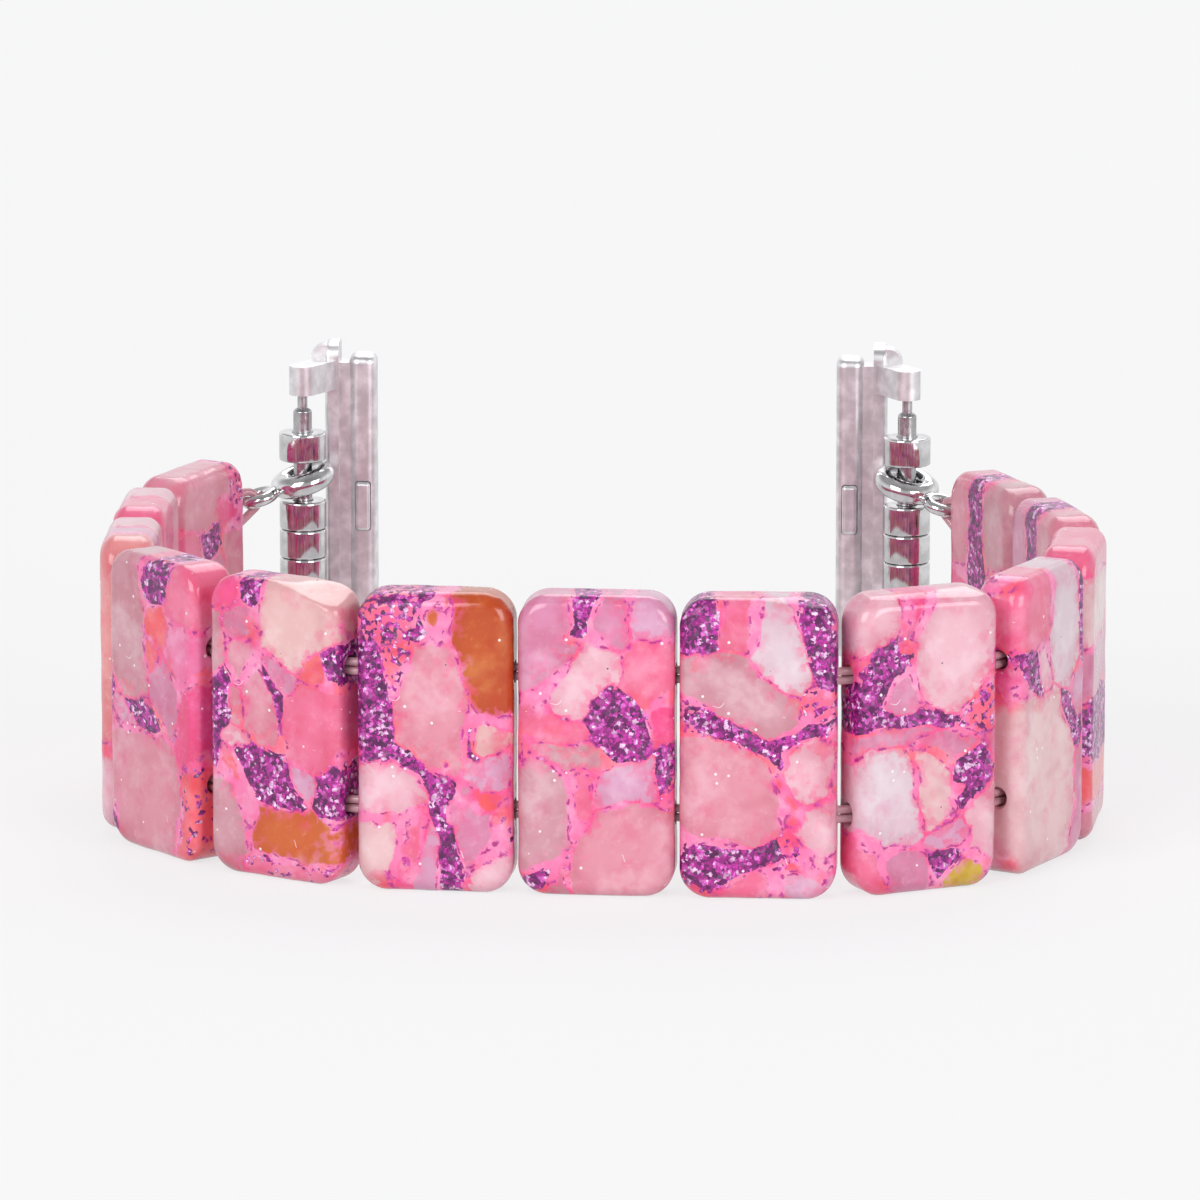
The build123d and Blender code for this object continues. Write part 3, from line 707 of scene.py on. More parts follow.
@dataclass(frozen=True)
class ResinFinish:
    """Polished stone-look resin: chips in a hot pink ground, with purple glitter."""

    name: str
    chips: tuple[Chip, ...]
    ground: Tint = Tint.HOT
    ground_gap_mm: float = 1.5
    vein_mm: float = 0.16
    glitter_spread_mm: float = 0.9
    polish: float = 0.22
    coat: float = 0.35
    flake_tilt: float = 0.7
    flake_rough: float = 0.16
    flake_scale: float = 3.4
    foil_share: float = 0.18
    wave_mm: float = 0.05

    def chain(self, graph: Graph, effects: Effects, point: bpy.types.NodeSocket) -> bpy.types.NodeOutputs:
        """Runs the point past every chip.

        Args:
            graph: The material's graph.
            effects: The shared effects.
            point: The shifted point, in millimetres.

        Returns:
            The last chip's outputs: the two least distances, the colour and the glitter.
        """
        found = {"Near": 99.0, "Next": 99.0, "Colour": linear(self.ground.value), "Glitter": 0.0}
        for chip in self.chips:
            last = effects.chip.put(
                graph, Point=point, Centre=(chip.across, 0, chip.up),
                Size=(chip.half_width, 7.0, chip.half_height), Lean=math.radians(chip.lean),
                Reach=min(chip.half_width, chip.half_height), Tint=linear(chip.tint.value),
                Sparkle=chip.sparkle, **found,
            )
            found = {name: last[name] for name in found}
        return last

    def matrix(
        self, graph: Graph, flat: bpy.types.NodeSocket, mood: bpy.types.NodeSocket
    ) -> bpy.types.NodeSocket:
        """Mixes the ground that holds the chips: pinks, milky curds and coral streaks.

        Args:
            graph: The material's graph.
            flat: The unshifted point, in millimetres.
            mood: A slow noise that turns one pink into another.

        Returns:
            The ground's colour.
        """
        mixed = graph.blend(graph.ease(mood, 0.42, 0.56), linear(self.ground.value), linear(Tint.VEIN.value))
        curd = graph.patches(flat, (0, 0, 0), (0.85, 4.0, 0.62), (0.5, 0.7))
        mixed = graph.wash(curd, 0.5, mixed, linear(Tint.CURD.value))
        ember = graph.patches(flat, (5, 23, 41), (0.3, 3.0, 0.6), (0.54, 0.66))
        return graph.wash(ember, 0.7, mixed, linear(Tint.CORAL.value))

    def stone(self, graph: Graph, effects: Effects, flat: bpy.types.NodeSocket, last: bpy.types.NodeOutputs,
              fray: bpy.types.NodeSocket) -> tuple[bpy.types.NodeSocket, bpy.types.NodeSocket]:
        """Sets the chips in their ground, with soft seams between them.

        Args:
            graph: The material's graph.
            effects: The shared effects.
            flat: The unshifted point, in millimetres.
            last: The last chip's outputs.
            fray: A noise that breaks the seams up.

        Returns:
            The stone's colour, and the mask of the glitter veins along the seams.
        """
        g = graph
        mood = g.noise(g.vector("ADD", flat, (11, 3, 29)), 0.34, 2.0).outputs[0]
        matrix = self.matrix(g, flat, mood)
        between = g.ease(last["Near"], self.ground_gap_mm * 0.6, self.ground_gap_mm)
        apart = g.math("SUBTRACT", last["Next"], last["Near"])
        width = g.math("MULTIPLY", g.ease(mood, 0.38, 0.62), self.vein_mm * 3.4)
        seam = g.flip(g.ease(g.math("SUBTRACT", apart, width), 0.0, self.vein_mm * 2))
        bleed = g.math("MULTIPLY", g.ease(fray, 0.4, 0.62), self.vein_mm * 14)
        tinted = g.flip(g.ease(apart, 0.0, g.math("ADD", bleed, self.vein_mm)))
        held = g.math("MULTIPLY", last["Glitter"], 0.94)
        tinted = g.math("MAXIMUM", g.math("MULTIPLY", tinted, 0.62), held)
        colour = g.blend(tinted, last["Colour"], matrix)
        deep = g.ease(last["Near"], -1.5, -0.05)
        colour = g.wash(deep, 0.5, colour, DEEP_SHADE, "MULTIPLY")
        colour = g.blend(g.math("MAXIMUM", seam, between, clamp=True), colour, matrix)
        colour = effects.clouds.put(g, Point=flat, Colour=colour)["Colour"]
        rim = g.math("ABSOLUTE", g.math("SUBTRACT", apart, width))
        breadth = g.math("MULTIPLY", g.ease(fray, 0.45, 0.66), self.vein_mm * 2)
        vein = g.flip(g.ease(rim, 0.0, breadth))
        return colour, g.math("MULTIPLY", vein, g.ease(fray, 0.51, 0.58))

    def pocket(
        self, graph: Graph, flat: bpy.types.NodeSocket, last: bpy.types.NodeOutputs
    ) -> bpy.types.NodeSocket:
        """Marks the glitter pockets, whose flakes thin out at their edges.

        Args:
            graph: The material's graph.
            flat: The unshifted point, in millimetres.
            last: The last chip's outputs.

        Returns:
            The mask.
        """
        loose = graph.ease(last["Near"], self.glitter_spread_mm * 0.2, self.glitter_spread_mm)
        full = graph.math("MULTIPLY", last["Glitter"], graph.flip(loose))
        grain = graph.cells(flat, 3.0).outputs["Color"]
        draw = graph.node("ShaderNodeSeparateColor", {0: grain}).outputs[1]
        return graph.math("GREATER_THAN", full, graph.math("MULTIPLY", draw, 0.97))

    def build(self, effects: Effects) -> bpy.types.Material:
        """Builds the bead's material.

        Args:
            effects: The shared effects.

        Returns:
            The material.
        """
        material, g, shader = new_material(self.name)
        flat = millimetres(g)
        shift = effects.ground.put(g, Point=flat)
        shift = g.node("ShaderNodeCombineXYZ", {0: shift["Along"], 2: shift["Rise"]}).outputs[0]
        last = self.chain(g, effects, g.vector("ADD", flat, shift))
        fray = g.noise(flat, 1.3, 2.0).outputs[0]
        stone, vein = self.stone(g, effects, flat, last, fray)
        pocket = self.pocket(g, flat, last)
        sparkle = g.math("MAXIMUM", pocket, vein, clamp=True)
        wave = g.noise(flat, 0.55, 2.0).outputs[0]
        bump = g.node("ShaderNodeBump", {"Height": wave, "Distance": self.wave_mm * MM, "Strength": 0.6})
        tilt = g.math("MULTIPLY", sparkle, self.flake_tilt)
        surface = bump.outputs[0]
        flakes = effects.flakes.put(g, Point=flat, Flake=self.flake_scale, Tilt=tilt, Surface=surface)
        thread = g.blend(0.6, flakes["Colour"], linear(Tint.BERRY.value))
        colour = g.blend(pocket, g.blend(vein, stone, thread), flakes["Colour"])
        specks = effects.specks.put(g, Point=flat)
        # The white specks are painted glints of tiny glitter; the dark specks and the white scratches are
        # the resin's own marks.
        for speck, share, tint in (
            ("White", 0.85, SPECK_GLINT_WHITE), ("Scratch", 0.5, SCRATCH_WHITE),
            ("Dark", 0.8, linear(Tint.PLUM.value)),
        ):
            colour = g.wash(specks[speck], share, colour, tint)
        g.feed(shader.inputs["Base Color"], colour)
        g.feed(shader.inputs["Roughness"], g.plus(self.polish, sparkle, self.flake_rough))
        flash = g.math("MULTIPLY", g.math("MULTIPLY", sparkle, flakes["Flash"]), self.foil_share)
        g.feed(shader.inputs["Metallic"], flash)
        g.feed(shader.inputs["Normal"], flakes["Normal"])
        g.feed(shader.inputs["Coat Normal"], surface)
        shader.inputs["Coat Weight"].default_value = self.coat
        shader.inputs["Coat Roughness"].default_value = 0.05
        return material


@dataclass(frozen=True)
class SteelFinish:
    """Steel with an uneven polish."""

    name: str
    tint: tuple[int, int, int]
    polish: float
    rub: float
    dull_share: float = 0.86

    def build(self, effects: Effects) -> bpy.types.Material:
        """Builds the steel.

        Args:
            effects: The shared effects.

        Returns:
            The material.
        """
        material, g, shader = new_material(self.name)
        wear = effects.wear.put(g, Point=millimetres(g), Polish=self.polish, Rub=self.rub)
        dull = tuple(int(value * self.dull_share) for value in self.tint)
        g.feed(shader.inputs["Base Color"], g.blend(wear["Shade"], linear(dull), linear(self.tint)))
        g.feed(shader.inputs["Roughness"], wear["Roughness"])
        shader.inputs["Metallic"].default_value = 1.0
        bump = g.node("ShaderNodeBump", {"Height": wear["Height"], "Distance": 0.004 * MM, "Strength": 0.5})
        g.feed(shader.inputs["Normal"], bump.outputs[0])
        return material


@dataclass(frozen=True)
class ElasticFinish:
    """Stretch cord: clear and a little milky; its pink colour is a painted reflection of the beads round it.
    """

    name: str = "stretch_cord"
    # Painted reflection: the pink of the beads seen through the clear cord, painted into its colour and its
    # streaks.
    tint: tuple[int, int, int] = (238, 188, 198)
    streak: tuple[int, int, int] = (212, 150, 164)
    dust: tuple[int, int, int] = (248, 240, 236)
    polish: float = 0.12
    rub: float = 0.1
    clear: float = 0.3
    bend: float = 1.46
    coat: float = 0.3

    def build(self, effects: Effects) -> bpy.types.Material:
        """Builds the cord's material.

        Args:
            effects: The shared effects.

        Returns:
            The material.
        """
        material, g, shader = new_material(self.name)
        point = millimetres(g)
        streaks = g.ease(g.noise(g.vector("MULTIPLY", point, (1, 1, 5)), 0.8, 2.0).outputs[0], 0.35, 0.7)
        dusty = effects.specks.put(g, Point=point)["White"]
        # Pink tint and streaks: painted reflection of the beads round the cord.
        colour = g.wash(streaks, 0.6, linear(self.tint), linear(self.streak))
        g.feed(shader.inputs["Base Color"], g.blend(dusty, colour, linear(self.dust)))
        g.feed(shader.inputs["Roughness"], g.plus(self.polish, streaks, self.rub))
        shader.inputs["Transmission Weight"].default_value = self.clear
        shader.inputs["IOR"].default_value = self.bend
        shader.inputs["Coat Weight"].default_value = self.coat
        return material


def mesh_object(name: str, mesh: bpy.types.Mesh, material: bpy.types.Material) -> bpy.types.Object:
    """Puts a mesh in the scene.

    Args:
        name: The piece's name.
        mesh: Its mesh, in metres.
        material: Its finish.

    Returns:
        The new object.
    """
    piece = bpy.data.objects.new(name, mesh)
    bpy.context.scene.collection.objects.link(piece)
    piece.data.materials.clear()
    piece.data.materials.append(material)
    return piece


def stand_in(name: str, mesh: bpy.types.Mesh, finish: bpy.types.Material, node: str,
             place: Matrix | None = None, body: str = "") -> bpy.types.Object:
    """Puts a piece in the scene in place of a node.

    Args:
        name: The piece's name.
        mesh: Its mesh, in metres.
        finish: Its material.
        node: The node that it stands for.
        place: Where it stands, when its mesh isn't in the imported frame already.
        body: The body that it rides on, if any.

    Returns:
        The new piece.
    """
    piece = mesh_object(name, mesh, finish)
    if place is not None:
        piece.matrix_world = place
    if body:
        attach(piece, body)
    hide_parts(node)
    log.info("%s: %d faces", name, len(mesh.polygons))
    return piece


def shade(mesh: bpy.types.Mesh, crease_deg: float = CREASE_DEG) -> None:
    """Smooths a mesh's shading, with creases where faces meet at more than crease_deg."""
    mesh.shade_smooth()
    mesh.set_sharp_from_angle(angle=math.radians(crease_deg))


def settled(name: str, made: bmesh.types.BMesh, crease_deg: float = CREASE_DEG) -> bpy.types.Mesh:
    """Turns worked geometry into a shaded mesh and lets the geometry go.

    Args:
        name: The mesh's name.
        made: The geometry, in metres.
        crease_deg: The angle over which an edge stays sharp.

    Returns:
        The mesh.
    """
    mesh = bpy.data.meshes.new(name)
    made.to_mesh(mesh)
    made.free()
    shade(mesh, crease_deg)
    return mesh


def lathe(profile: list[tuple[float, float]], steps: int = 96, closed: bool = True) -> bpy.types.Mesh:
    """Turns a profile about Z.

    Args:
        profile: Radius and height of each point, in millimetres.
        steps: How many faces the round has.
        closed: Whether the last point joins the first.

    Returns:
        The turned mesh, in metres.
    """
    made = bmesh.new()
    rings = []
    for step in range(steps):
        angle = math.tau * step / steps
        turn = Vector((math.cos(angle), math.sin(angle), 0))
        rings.append([made.verts.new(turn * (r * MM) + UP * (z * MM)) for r, z in profile])
    spans = len(profile) if closed else len(profile) - 1
    for ring, following in zip(rings, rings[1:] + rings[:1]):
        for i in range(spans):
            j = (i + 1) % len(profile)
            made.faces.new((ring[i], following[i], following[j], ring[j]))
    bmesh.ops.remove_doubles(made, verts=made.verts, dist=0.0005 * MM)
    bmesh.ops.recalc_face_normals(made, faces=made.faces)
    return settled("turned", made)


def rounded(corner: tuple[float, float], before: tuple[float, float], after: tuple[float, float],
            radius: float, steps: int = 4) -> list[tuple[float, float]]:
    """Rounds a profile's corner.

    Args:
        corner: The sharp corner.
        before: The point before it.
        after: The point after it.
        radius: How far from the corner the round starts.
        steps: How many faces the round has.

    Returns:
        The round's points.
    """
    middle = Vector(corner)
    start = middle + (Vector(before) - middle).normalized() * radius
    stop = middle + (Vector(after) - middle).normalized() * radius
    points = []
    for step in range(steps + 1):
        share = step / steps
        point = start.lerp(middle, share).lerp(middle.lerp(stop, share), share)
        points.append((point.x, point.y))
    return points


def round_profile(corners: list[tuple[float, float, float]]) -> list[tuple[float, float]]:
    """Rounds the corners of a closed profile.

    Args:
        corners: Each corner's radius and height, and how far from it its round starts.

    Returns:
        The profile's points.
    """
    points = []
    for i, (r, z, radius) in enumerate(corners):
        before, after = corners[i - 1], corners[(i + 1) % len(corners)]
        if radius:
            points += rounded((r, z), before[:2], after[:2], radius)
        else:
            points.append((r, z))
    return points


def tube(points: list[Vector], radius: float, sides: int = 20) -> bmesh.types.BMesh:
    """Sweeps a round tube along points, with no twist and closed ends.

    Args:
        points: The centre line, in metres.
        radius: The tube's radius, in metres.
        sides: How many faces the round has.

    Returns:
        The tube.
    """
    made = bmesh.new()
    along = (points[1] - points[0]).normalized()
    side = along.orthogonal().normalized()
    rings = []
    for i, point in enumerate(points):
        ahead = points[min(i + 1, len(points) - 1)] - points[max(i - 1, 0)]
        turn = along.rotation_difference(ahead.normalized())
        side = (turn @ side).normalized()
        along = ahead.normalized()
        other = along.cross(side)
        ring = []
        for step in range(sides):
            angle = math.tau * step / sides
            ring.append(made.verts.new(point + (side * math.cos(angle) + other * math.sin(angle)) * radius))
        rings.append(ring)
    for ring, following in zip(rings, rings[1:]):
        for i in range(sides):
            j = (i + 1) % sides
            made.faces.new((ring[i], ring[j], following[j], following[i]))
    made.faces.new(list(reversed(rings[0])))
    made.faces.new(rings[-1])
    return made


def smooth_line(points: list[Vector], parts: int = 8) -> list[Vector]:
    """Runs a smooth curve through points.

    Args:
        points: The points that the curve passes.
        parts: How many steps lie between two points.

    Returns:
        The curve's points.
    """
    padded = [points[0] * 2 - points[1], *points, points[-1] * 2 - points[-2]]
    line = []
    for a, b, c, d in zip(padded, padded[1:], padded[2:], padded[3:]):
        for step in range(parts):
            t = step / parts
            line.append(((b * 2) + (c - a) * t + (a * 2 - b * 5 + c * 4 - d) * t**2
                         + (b * 3 - a - c * 3 + d) * t**3) / 2)
    return [*line, points[-1]]


@dataclass
class BeadSize:
    """The bead's sizes, in millimetres."""

    width: float = 11.8
    thickness: float = 4.2
    height: float = 23.0
    gap: float = 0.25
    corner_radius: float = 2.3
    edge_radius: float = 1.1
    edge_power: float = 1.75
    hinge_depth: float = 1.0
    bore: float = 1.5
    bore_mouth: float = 0.14
    bore_steps: int = 32
    row_shares: tuple[float, float] = (0.73, 0.27)
    mesh_step: float = 0.25

    @property
    def half_pitch(self) -> float:
        """Half the distance from bead to bead."""
        return (self.width + self.gap) / 2

    @property
    def rows(self) -> dict[str, float]:
        """Each bore's height from the bead's lower end."""
        return {level: self.height * share for level, share in zip(LEVELS, self.row_shares)}


@dataclass
class Bead:
    """One bead: where it stands, its chips, and how its corners were ground.

    Its node and the body that it rides on have the same name.
    """

    node: str
    centre: Vector
    turn: float
    chips: tuple[Chip, ...]
    size: BeadSize = field(default_factory=BeadSize)
    facets: tuple[tuple[Vector, float], ...] = ()
    facet_blend: float = 0.3
    waves: tuple[tuple[float, float], ...] = ((0.22, 0.09), (0.7, 0.022))
    wave_step: tuple[float, float, float] = (7.3, 3.1, 0.0)
    wave_shares: tuple[float, float, float] = (0.25, 1.0, 0.1)
    seed: int = 0

    def axis(self) -> Vector:
        """The direction along the band, through the bores."""
        return Vector((math.cos(self.turn), math.sin(self.turn), 0))

    def spot(self, across: float, inward: float, up: float) -> Vector:
        """A point of the bead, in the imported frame.

        Args:
            across: Millimetres along the band from the bead's middle.
            inward: Millimetres towards the wrist.
            up: Millimetres from the bead's lower end.

        Returns:
            The point, in metres.
        """
        along = self.axis()
        wrist = UP.cross(along)
        base = Vector((self.centre.x, self.centre.y, 0))
        return base + (along * across + wrist * inward + UP * up) * MM

    def grid(self) -> tuple[np.ndarray, list[tuple[int, int, int, int]]]:
        """Lays an even grid over a plain block.

        Returns:
            The points, in millimetres from the block's middle, and the faces.
        """
        s = self.size
        counts = [round(length / s.mesh_step) for length in (s.width, s.thickness, s.height)]
        spans = np.array([s.width, s.thickness, s.height])
        index, points, faces = {}, [], []

        def corner(i: int, j: int, k: int) -> int:
            """Gives a grid point its number, the same each time.

            Args:
                i: Its step along the band.
                j: Its step through the bead.
                k: Its step upwards.

            Returns:
                The point's number.
            """
            key = (i, j, k)
            if key not in index:
                index[key] = len(points)
                points.append((np.array(key) / counts - 0.5) * spans)
            return index[key]

        for axis in range(3):
            a, b = [other for other in range(3) if other != axis]
            for end in (0, counts[axis]):
                for i in range(counts[a]):
                    for j in range(counts[b]):
                        keys = []
                        for di, dj in ((0, 0), (1, 0), (1, 1), (0, 1)):
                            key = [0, 0, 0]
                            key[axis], key[a], key[b] = end, i + di, j + dj
                            keys.append(corner(*key))
                        flip = (end == 0) != (axis == 1)
                        faces.append(tuple(reversed(keys)) if flip else tuple(keys))
        return np.array(points), faces

    def ground_shape(self, points: np.ndarray) -> np.ndarray:
        """Rounds the block's corners and edges, grinds its facets and lets its faces wave.

        Args:
            points: The block's points.

        Returns:
            The bead's points.
        """
        s = self.size
        corner, edge = s.corner_radius, s.edge_radius
        core = np.array([s.width / 2 - corner, s.height / 2 - corner])
        flat = points[:, [0, 2]]
        anchor = np.clip(flat, -core, core)
        away = flat - anchor
        reach = np.linalg.norm(away, axis=1, keepdims=True)
        inner = anchor + away * np.minimum(1, (corner - edge) / np.maximum(reach, TINY))
        deep = np.clip(points[:, 1], -(s.thickness / 2 - edge), s.thickness / 2 - edge)
        inside = np.column_stack([inner[:, 0], deep, inner[:, 1]])
        out = points - inside
        in_plane = np.linalg.norm(out[:, [0, 2]], axis=1)
        power = s.edge_power
        span = (in_plane**power + np.abs(out[:, 1]) ** power) ** (1 / power)
        shaped = inside + out * (edge / np.maximum(span, TINY))[:, None]
        for normal, distance in self.facets:
            across = np.array(normal.normalized())
            over = shaped @ across - distance
            over = (over + np.sqrt(over**2 + self.facet_blend**2)) / 2
            shaped -= over[:, None] * across
        return shaped

    def mesh(self) -> bpy.types.Mesh:
        """Builds the bead, drilled for both cords.

        Returns:
            The mesh, in metres, with its origin under the bead's middle.
        """
        points, faces = self.grid()
        shaped = self.ground_shape(points)
        offset = Vector([self.seed * step for step in self.wave_step])
        moved = []
        for x, y, z in shaped:
            spot = Vector((x, y, z))
            wave = sum(noise.noise(spot * rate + offset) * deep for rate, deep in self.waves)
            out = Vector([value * share for value, share in zip((x, y, z), self.wave_shares)]).normalized()
            moved.append((spot - out * abs(wave) + UP * self.size.height / 2) * MM)
        mesh = bpy.data.meshes.new(self.node)
        mesh.from_pydata(moved, [], faces)
        return drill(mesh, self.size)

    def build(self, finish: bpy.types.Material) -> bpy.types.Object:
        """Builds the bead in its place.

        Args:
            finish: The bead's own resin.

        Returns:
            The piece.
        """
        place = Matrix.Translation(self.spot(0, 0, 0)) @ Matrix.Rotation(self.turn, 4, "Z")
        return stand_in(f"stone_{self.node}", self.mesh(), finish, self.node, place, self.node)


def drill(mesh: bpy.types.Mesh, size: BeadSize) -> bpy.types.Mesh:
    """Cuts the two bores, each with a soft mouth.

    Args:
        mesh: The solid bead, in metres.
        size: The bead's sizes.

    Returns:
        The drilled bead.
    """
    radius, half, mouth, past = size.bore / 2, size.width / 2, size.bore_mouth, 1.0
    upper = [(radius, half - 2 * mouth), (radius + mouth, half - mouth / 2), (radius + past, half + past),
             (0, half + past)]
    rod = lathe([(r, -z) for r, z in reversed(upper)] + upper, size.bore_steps, closed=False)
    body = bpy.data.objects.new("undrilled", mesh)
    bpy.context.scene.collection.objects.link(body)
    cutters = []
    for row in size.rows.values():
        cutter = bpy.data.objects.new("drill", rod)
        bpy.context.scene.collection.objects.link(cutter)
        cutter.matrix_world = Matrix.Translation((0, 0, row * MM)) @ Matrix.Rotation(math.pi / 2, 4, "Y")
        cut = body.modifiers.new("bore", "BOOLEAN")
        cut.object = cutter
        cut.operation = "DIFFERENCE"
        cut.solver = "EXACT"
        cutters.append(cutter)
    drilled = baked(body)
    for spare in cutters:
        bpy.data.objects.remove(spare)
    return drilled


class BeadRow:
    """All thirteen beads, placed from the frame's boxes and bends.

    FACETS holds the flats ground on some beads, each by its direction and its distance from
    the bead's middle, and EDGES the rounder or sharper edges of others.
    """

    FACETS: ClassVar[dict[str, tuple[tuple[Vector, float], ...]]] = {
        "bead_right_2": ((Vector((0.05, -0.32, 1)), 11.15),),
        "bead_left_2": ((Vector((0.3, -0.25, 1)), 11.3),),
        "bead_left_1": ((Vector((-0.1, -0.5, 1)), 11.0),),
        "bead_right_1": ((Vector((0.12, -0.45, 1)), 11.05),),
    }

    EDGES: ClassVar[dict[str, float]] = {
        "bead_left_3": 0.8, "bead_left_2": 0.95, "bead_right_1": 0.9, "bead_centre": 0.95,
    }

    def __init__(self, effects: Effects) -> None:
        """Finds every bead's place.

        Args:
            effects: The shared effects.
        """
        self.effects = effects
        self.size = BeadSize()
        self.beads = {"bead_centre": self.place("bead_centre", "bend_right_1", 1)}
        for side, sign in SIDES.items():
            for number in range(1, BEADS_A_SIDE + 1):
                node = f"bead_{side}_{number}"
                self.beads[node] = self.place(node, f"bend_{side}_{number}", -sign)

    def place(self, node: str, bend: str, toward: int) -> Bead:
        """Reads a bead's place from its box and from a bend beside it.

        Args:
            node: The bead's node.
            bend: The joint at one of its ends.
            toward: Which end that is: 1 for +across, -1 for -across.

        Returns:
            The bead.
        """
        low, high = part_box(node)
        centre = (low + high) / 2
        hinge = Vector(JOINTS[bend]["pos_m"])
        seen = math.atan2(hinge.y - centre.y, hinge.x - centre.x)
        own = math.atan2(self.size.hinge_depth, toward * self.size.half_pitch)
        turn = (seen - own + math.pi) % math.tau - math.pi
        size = replace(self.size, edge_radius=self.EDGES.get(node, self.size.edge_radius))
        seed = sorted(BEAD_CHIPS).index(node)
        return Bead(node, centre, turn, BEAD_CHIPS[node], size, self.FACETS.get(node, ()), seed=seed)

    def build(self) -> None:
        """Builds and dresses every bead."""
        for bead in self.beads.values():
            finish = ResinFinish(f"resin_{bead.node}", bead.chips).build(self.effects)
            bead.build(finish)


@dataclass
class CordRow:
    """The two doubled elastic cords, cut into pieces where the band bends."""

    row: BeadRow
    diameter: float = 0.65
    strands: float = 0.7
    loop_seat: float = 0.86
    mouth_run: float = 0.45
    gap_shares: tuple[float, ...] = (0, 0.3, 0.6, 0.85)
    end_shares: tuple[float, ...] = (0, 0.5, 0.85, 1)
    wrap_deg: tuple[int, ...] = (62, 100, 140, 180, 220, 260, 298)

    def strand(self, name: str, line: list[Vector], rows: list[float]) -> bmesh.types.BMesh:
        """Sweeps both strands of a stretch.

        Args:
            name: The stretch's name.
            line: The stretch's middle line, in metres.
            rows: How far above the line each strand lies, in millimetres.

        Returns:
            The strands as one mesh.
        """
        made = bmesh.new()
        for rise in rows:
            part = tube([point + UP * rise * MM for point in line], self.diameter / 2 * MM)
            spare = bpy.data.meshes.new(name)
            part.to_mesh(spare)
            part.free()
            made.from_mesh(spare)
            bpy.data.meshes.remove(spare)
        return made

    def piece(
        self, name: str, made: bmesh.types.BMesh, level: str, finish: bpy.types.Material
    ) -> bpy.types.Object:
        """Turns a stretch into a piece that stands for its cord."""
        mesh = settled(name, made, TUBE_CREASE_DEG)
        return stand_in(name, mesh, finish, f"elastic_cord_{level}")

    def gap(self, before: Bead, after: Bead, sign: int, level: str, finish: bpy.types.Material) -> None:
        """Runs the cord from the middle of one bead to the middle of the next.

        Args:
            before: The bead nearer the centre.
            after: The bead further out.
            sign: 1 on the right, -1 on the left.
            level: Upper or lower.
            finish: The cord's material.
        """
        height = self.row.size.rows[level]
        end = self.row.size.width / 2
        stops = [before.spot(sign * share * end, 0, height) for share in self.gap_shares]
        stops += [after.spot(-sign * share * end, 0, height) for share in reversed(self.gap_shares)]
        half = self.strands / 2
        made = self.strand("stretch", smooth_line(stops, 6), [half, -half])
        piece = self.piece(f"cord_{level}_{after.node[5:]}", made, level, finish)
        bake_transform(piece)

    def end(self, bead: Bead, sign: int, side: str, level: str, finish: bpy.types.Material) -> None:
        """Runs the cord out of the end bead, round the bail's small loop and back.

        Args:
            bead: The end bead.
            sign: 1 on the right, -1 on the left.
            side: Left or right.
            level: Upper or lower.
            finish: The cord's material.
        """
        height = self.row.size.rows[level]
        half = self.strands / 2
        bail = Bail.placed(side, level)
        tie = bail.tie()
        start = bead.spot(0, 0, height)
        mouth = bead.spot(sign * (self.row.size.width / 2 + self.mouth_run), 0, height)
        out = (mouth - tie).normalized()
        rise = (UP - out * out.z).normalized()
        seat = self.loop_seat * MM
        upper = [start.lerp(mouth, share) + UP * half * MM for share in self.end_shares]
        turns = [math.radians(degrees) for degrees in self.wrap_deg]
        around = [tie + (out * math.cos(a) + rise * math.sin(a)) * seat for a in turns]
        lower = [point - UP * half * 2 * MM for point in reversed(upper)]
        line = smooth_line([*upper, *around, *lower], 5)
        made = tube(line, self.diameter / 2 * MM)
        piece = self.piece(f"cord_{level}_{side}_end", made, level, finish)
        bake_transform(piece)

    def build(self, finish: bpy.types.Material) -> None:
        """Builds every stretch of both cords.

        Args:
            finish: The cords' material.
        """
        beads = self.row.beads
        for level in LEVELS:
            for side, sign in SIDES.items():
                outer = [beads[f"bead_{side}_{number}"] for number in range(1, BEADS_A_SIDE + 1)]
                chain = [beads["bead_centre"], *outer]
                for before, after in zip(chain, chain[1:]):
                    self.gap(before, after, sign, level, finish)
                self.end(chain[-1], sign, side, level, finish)


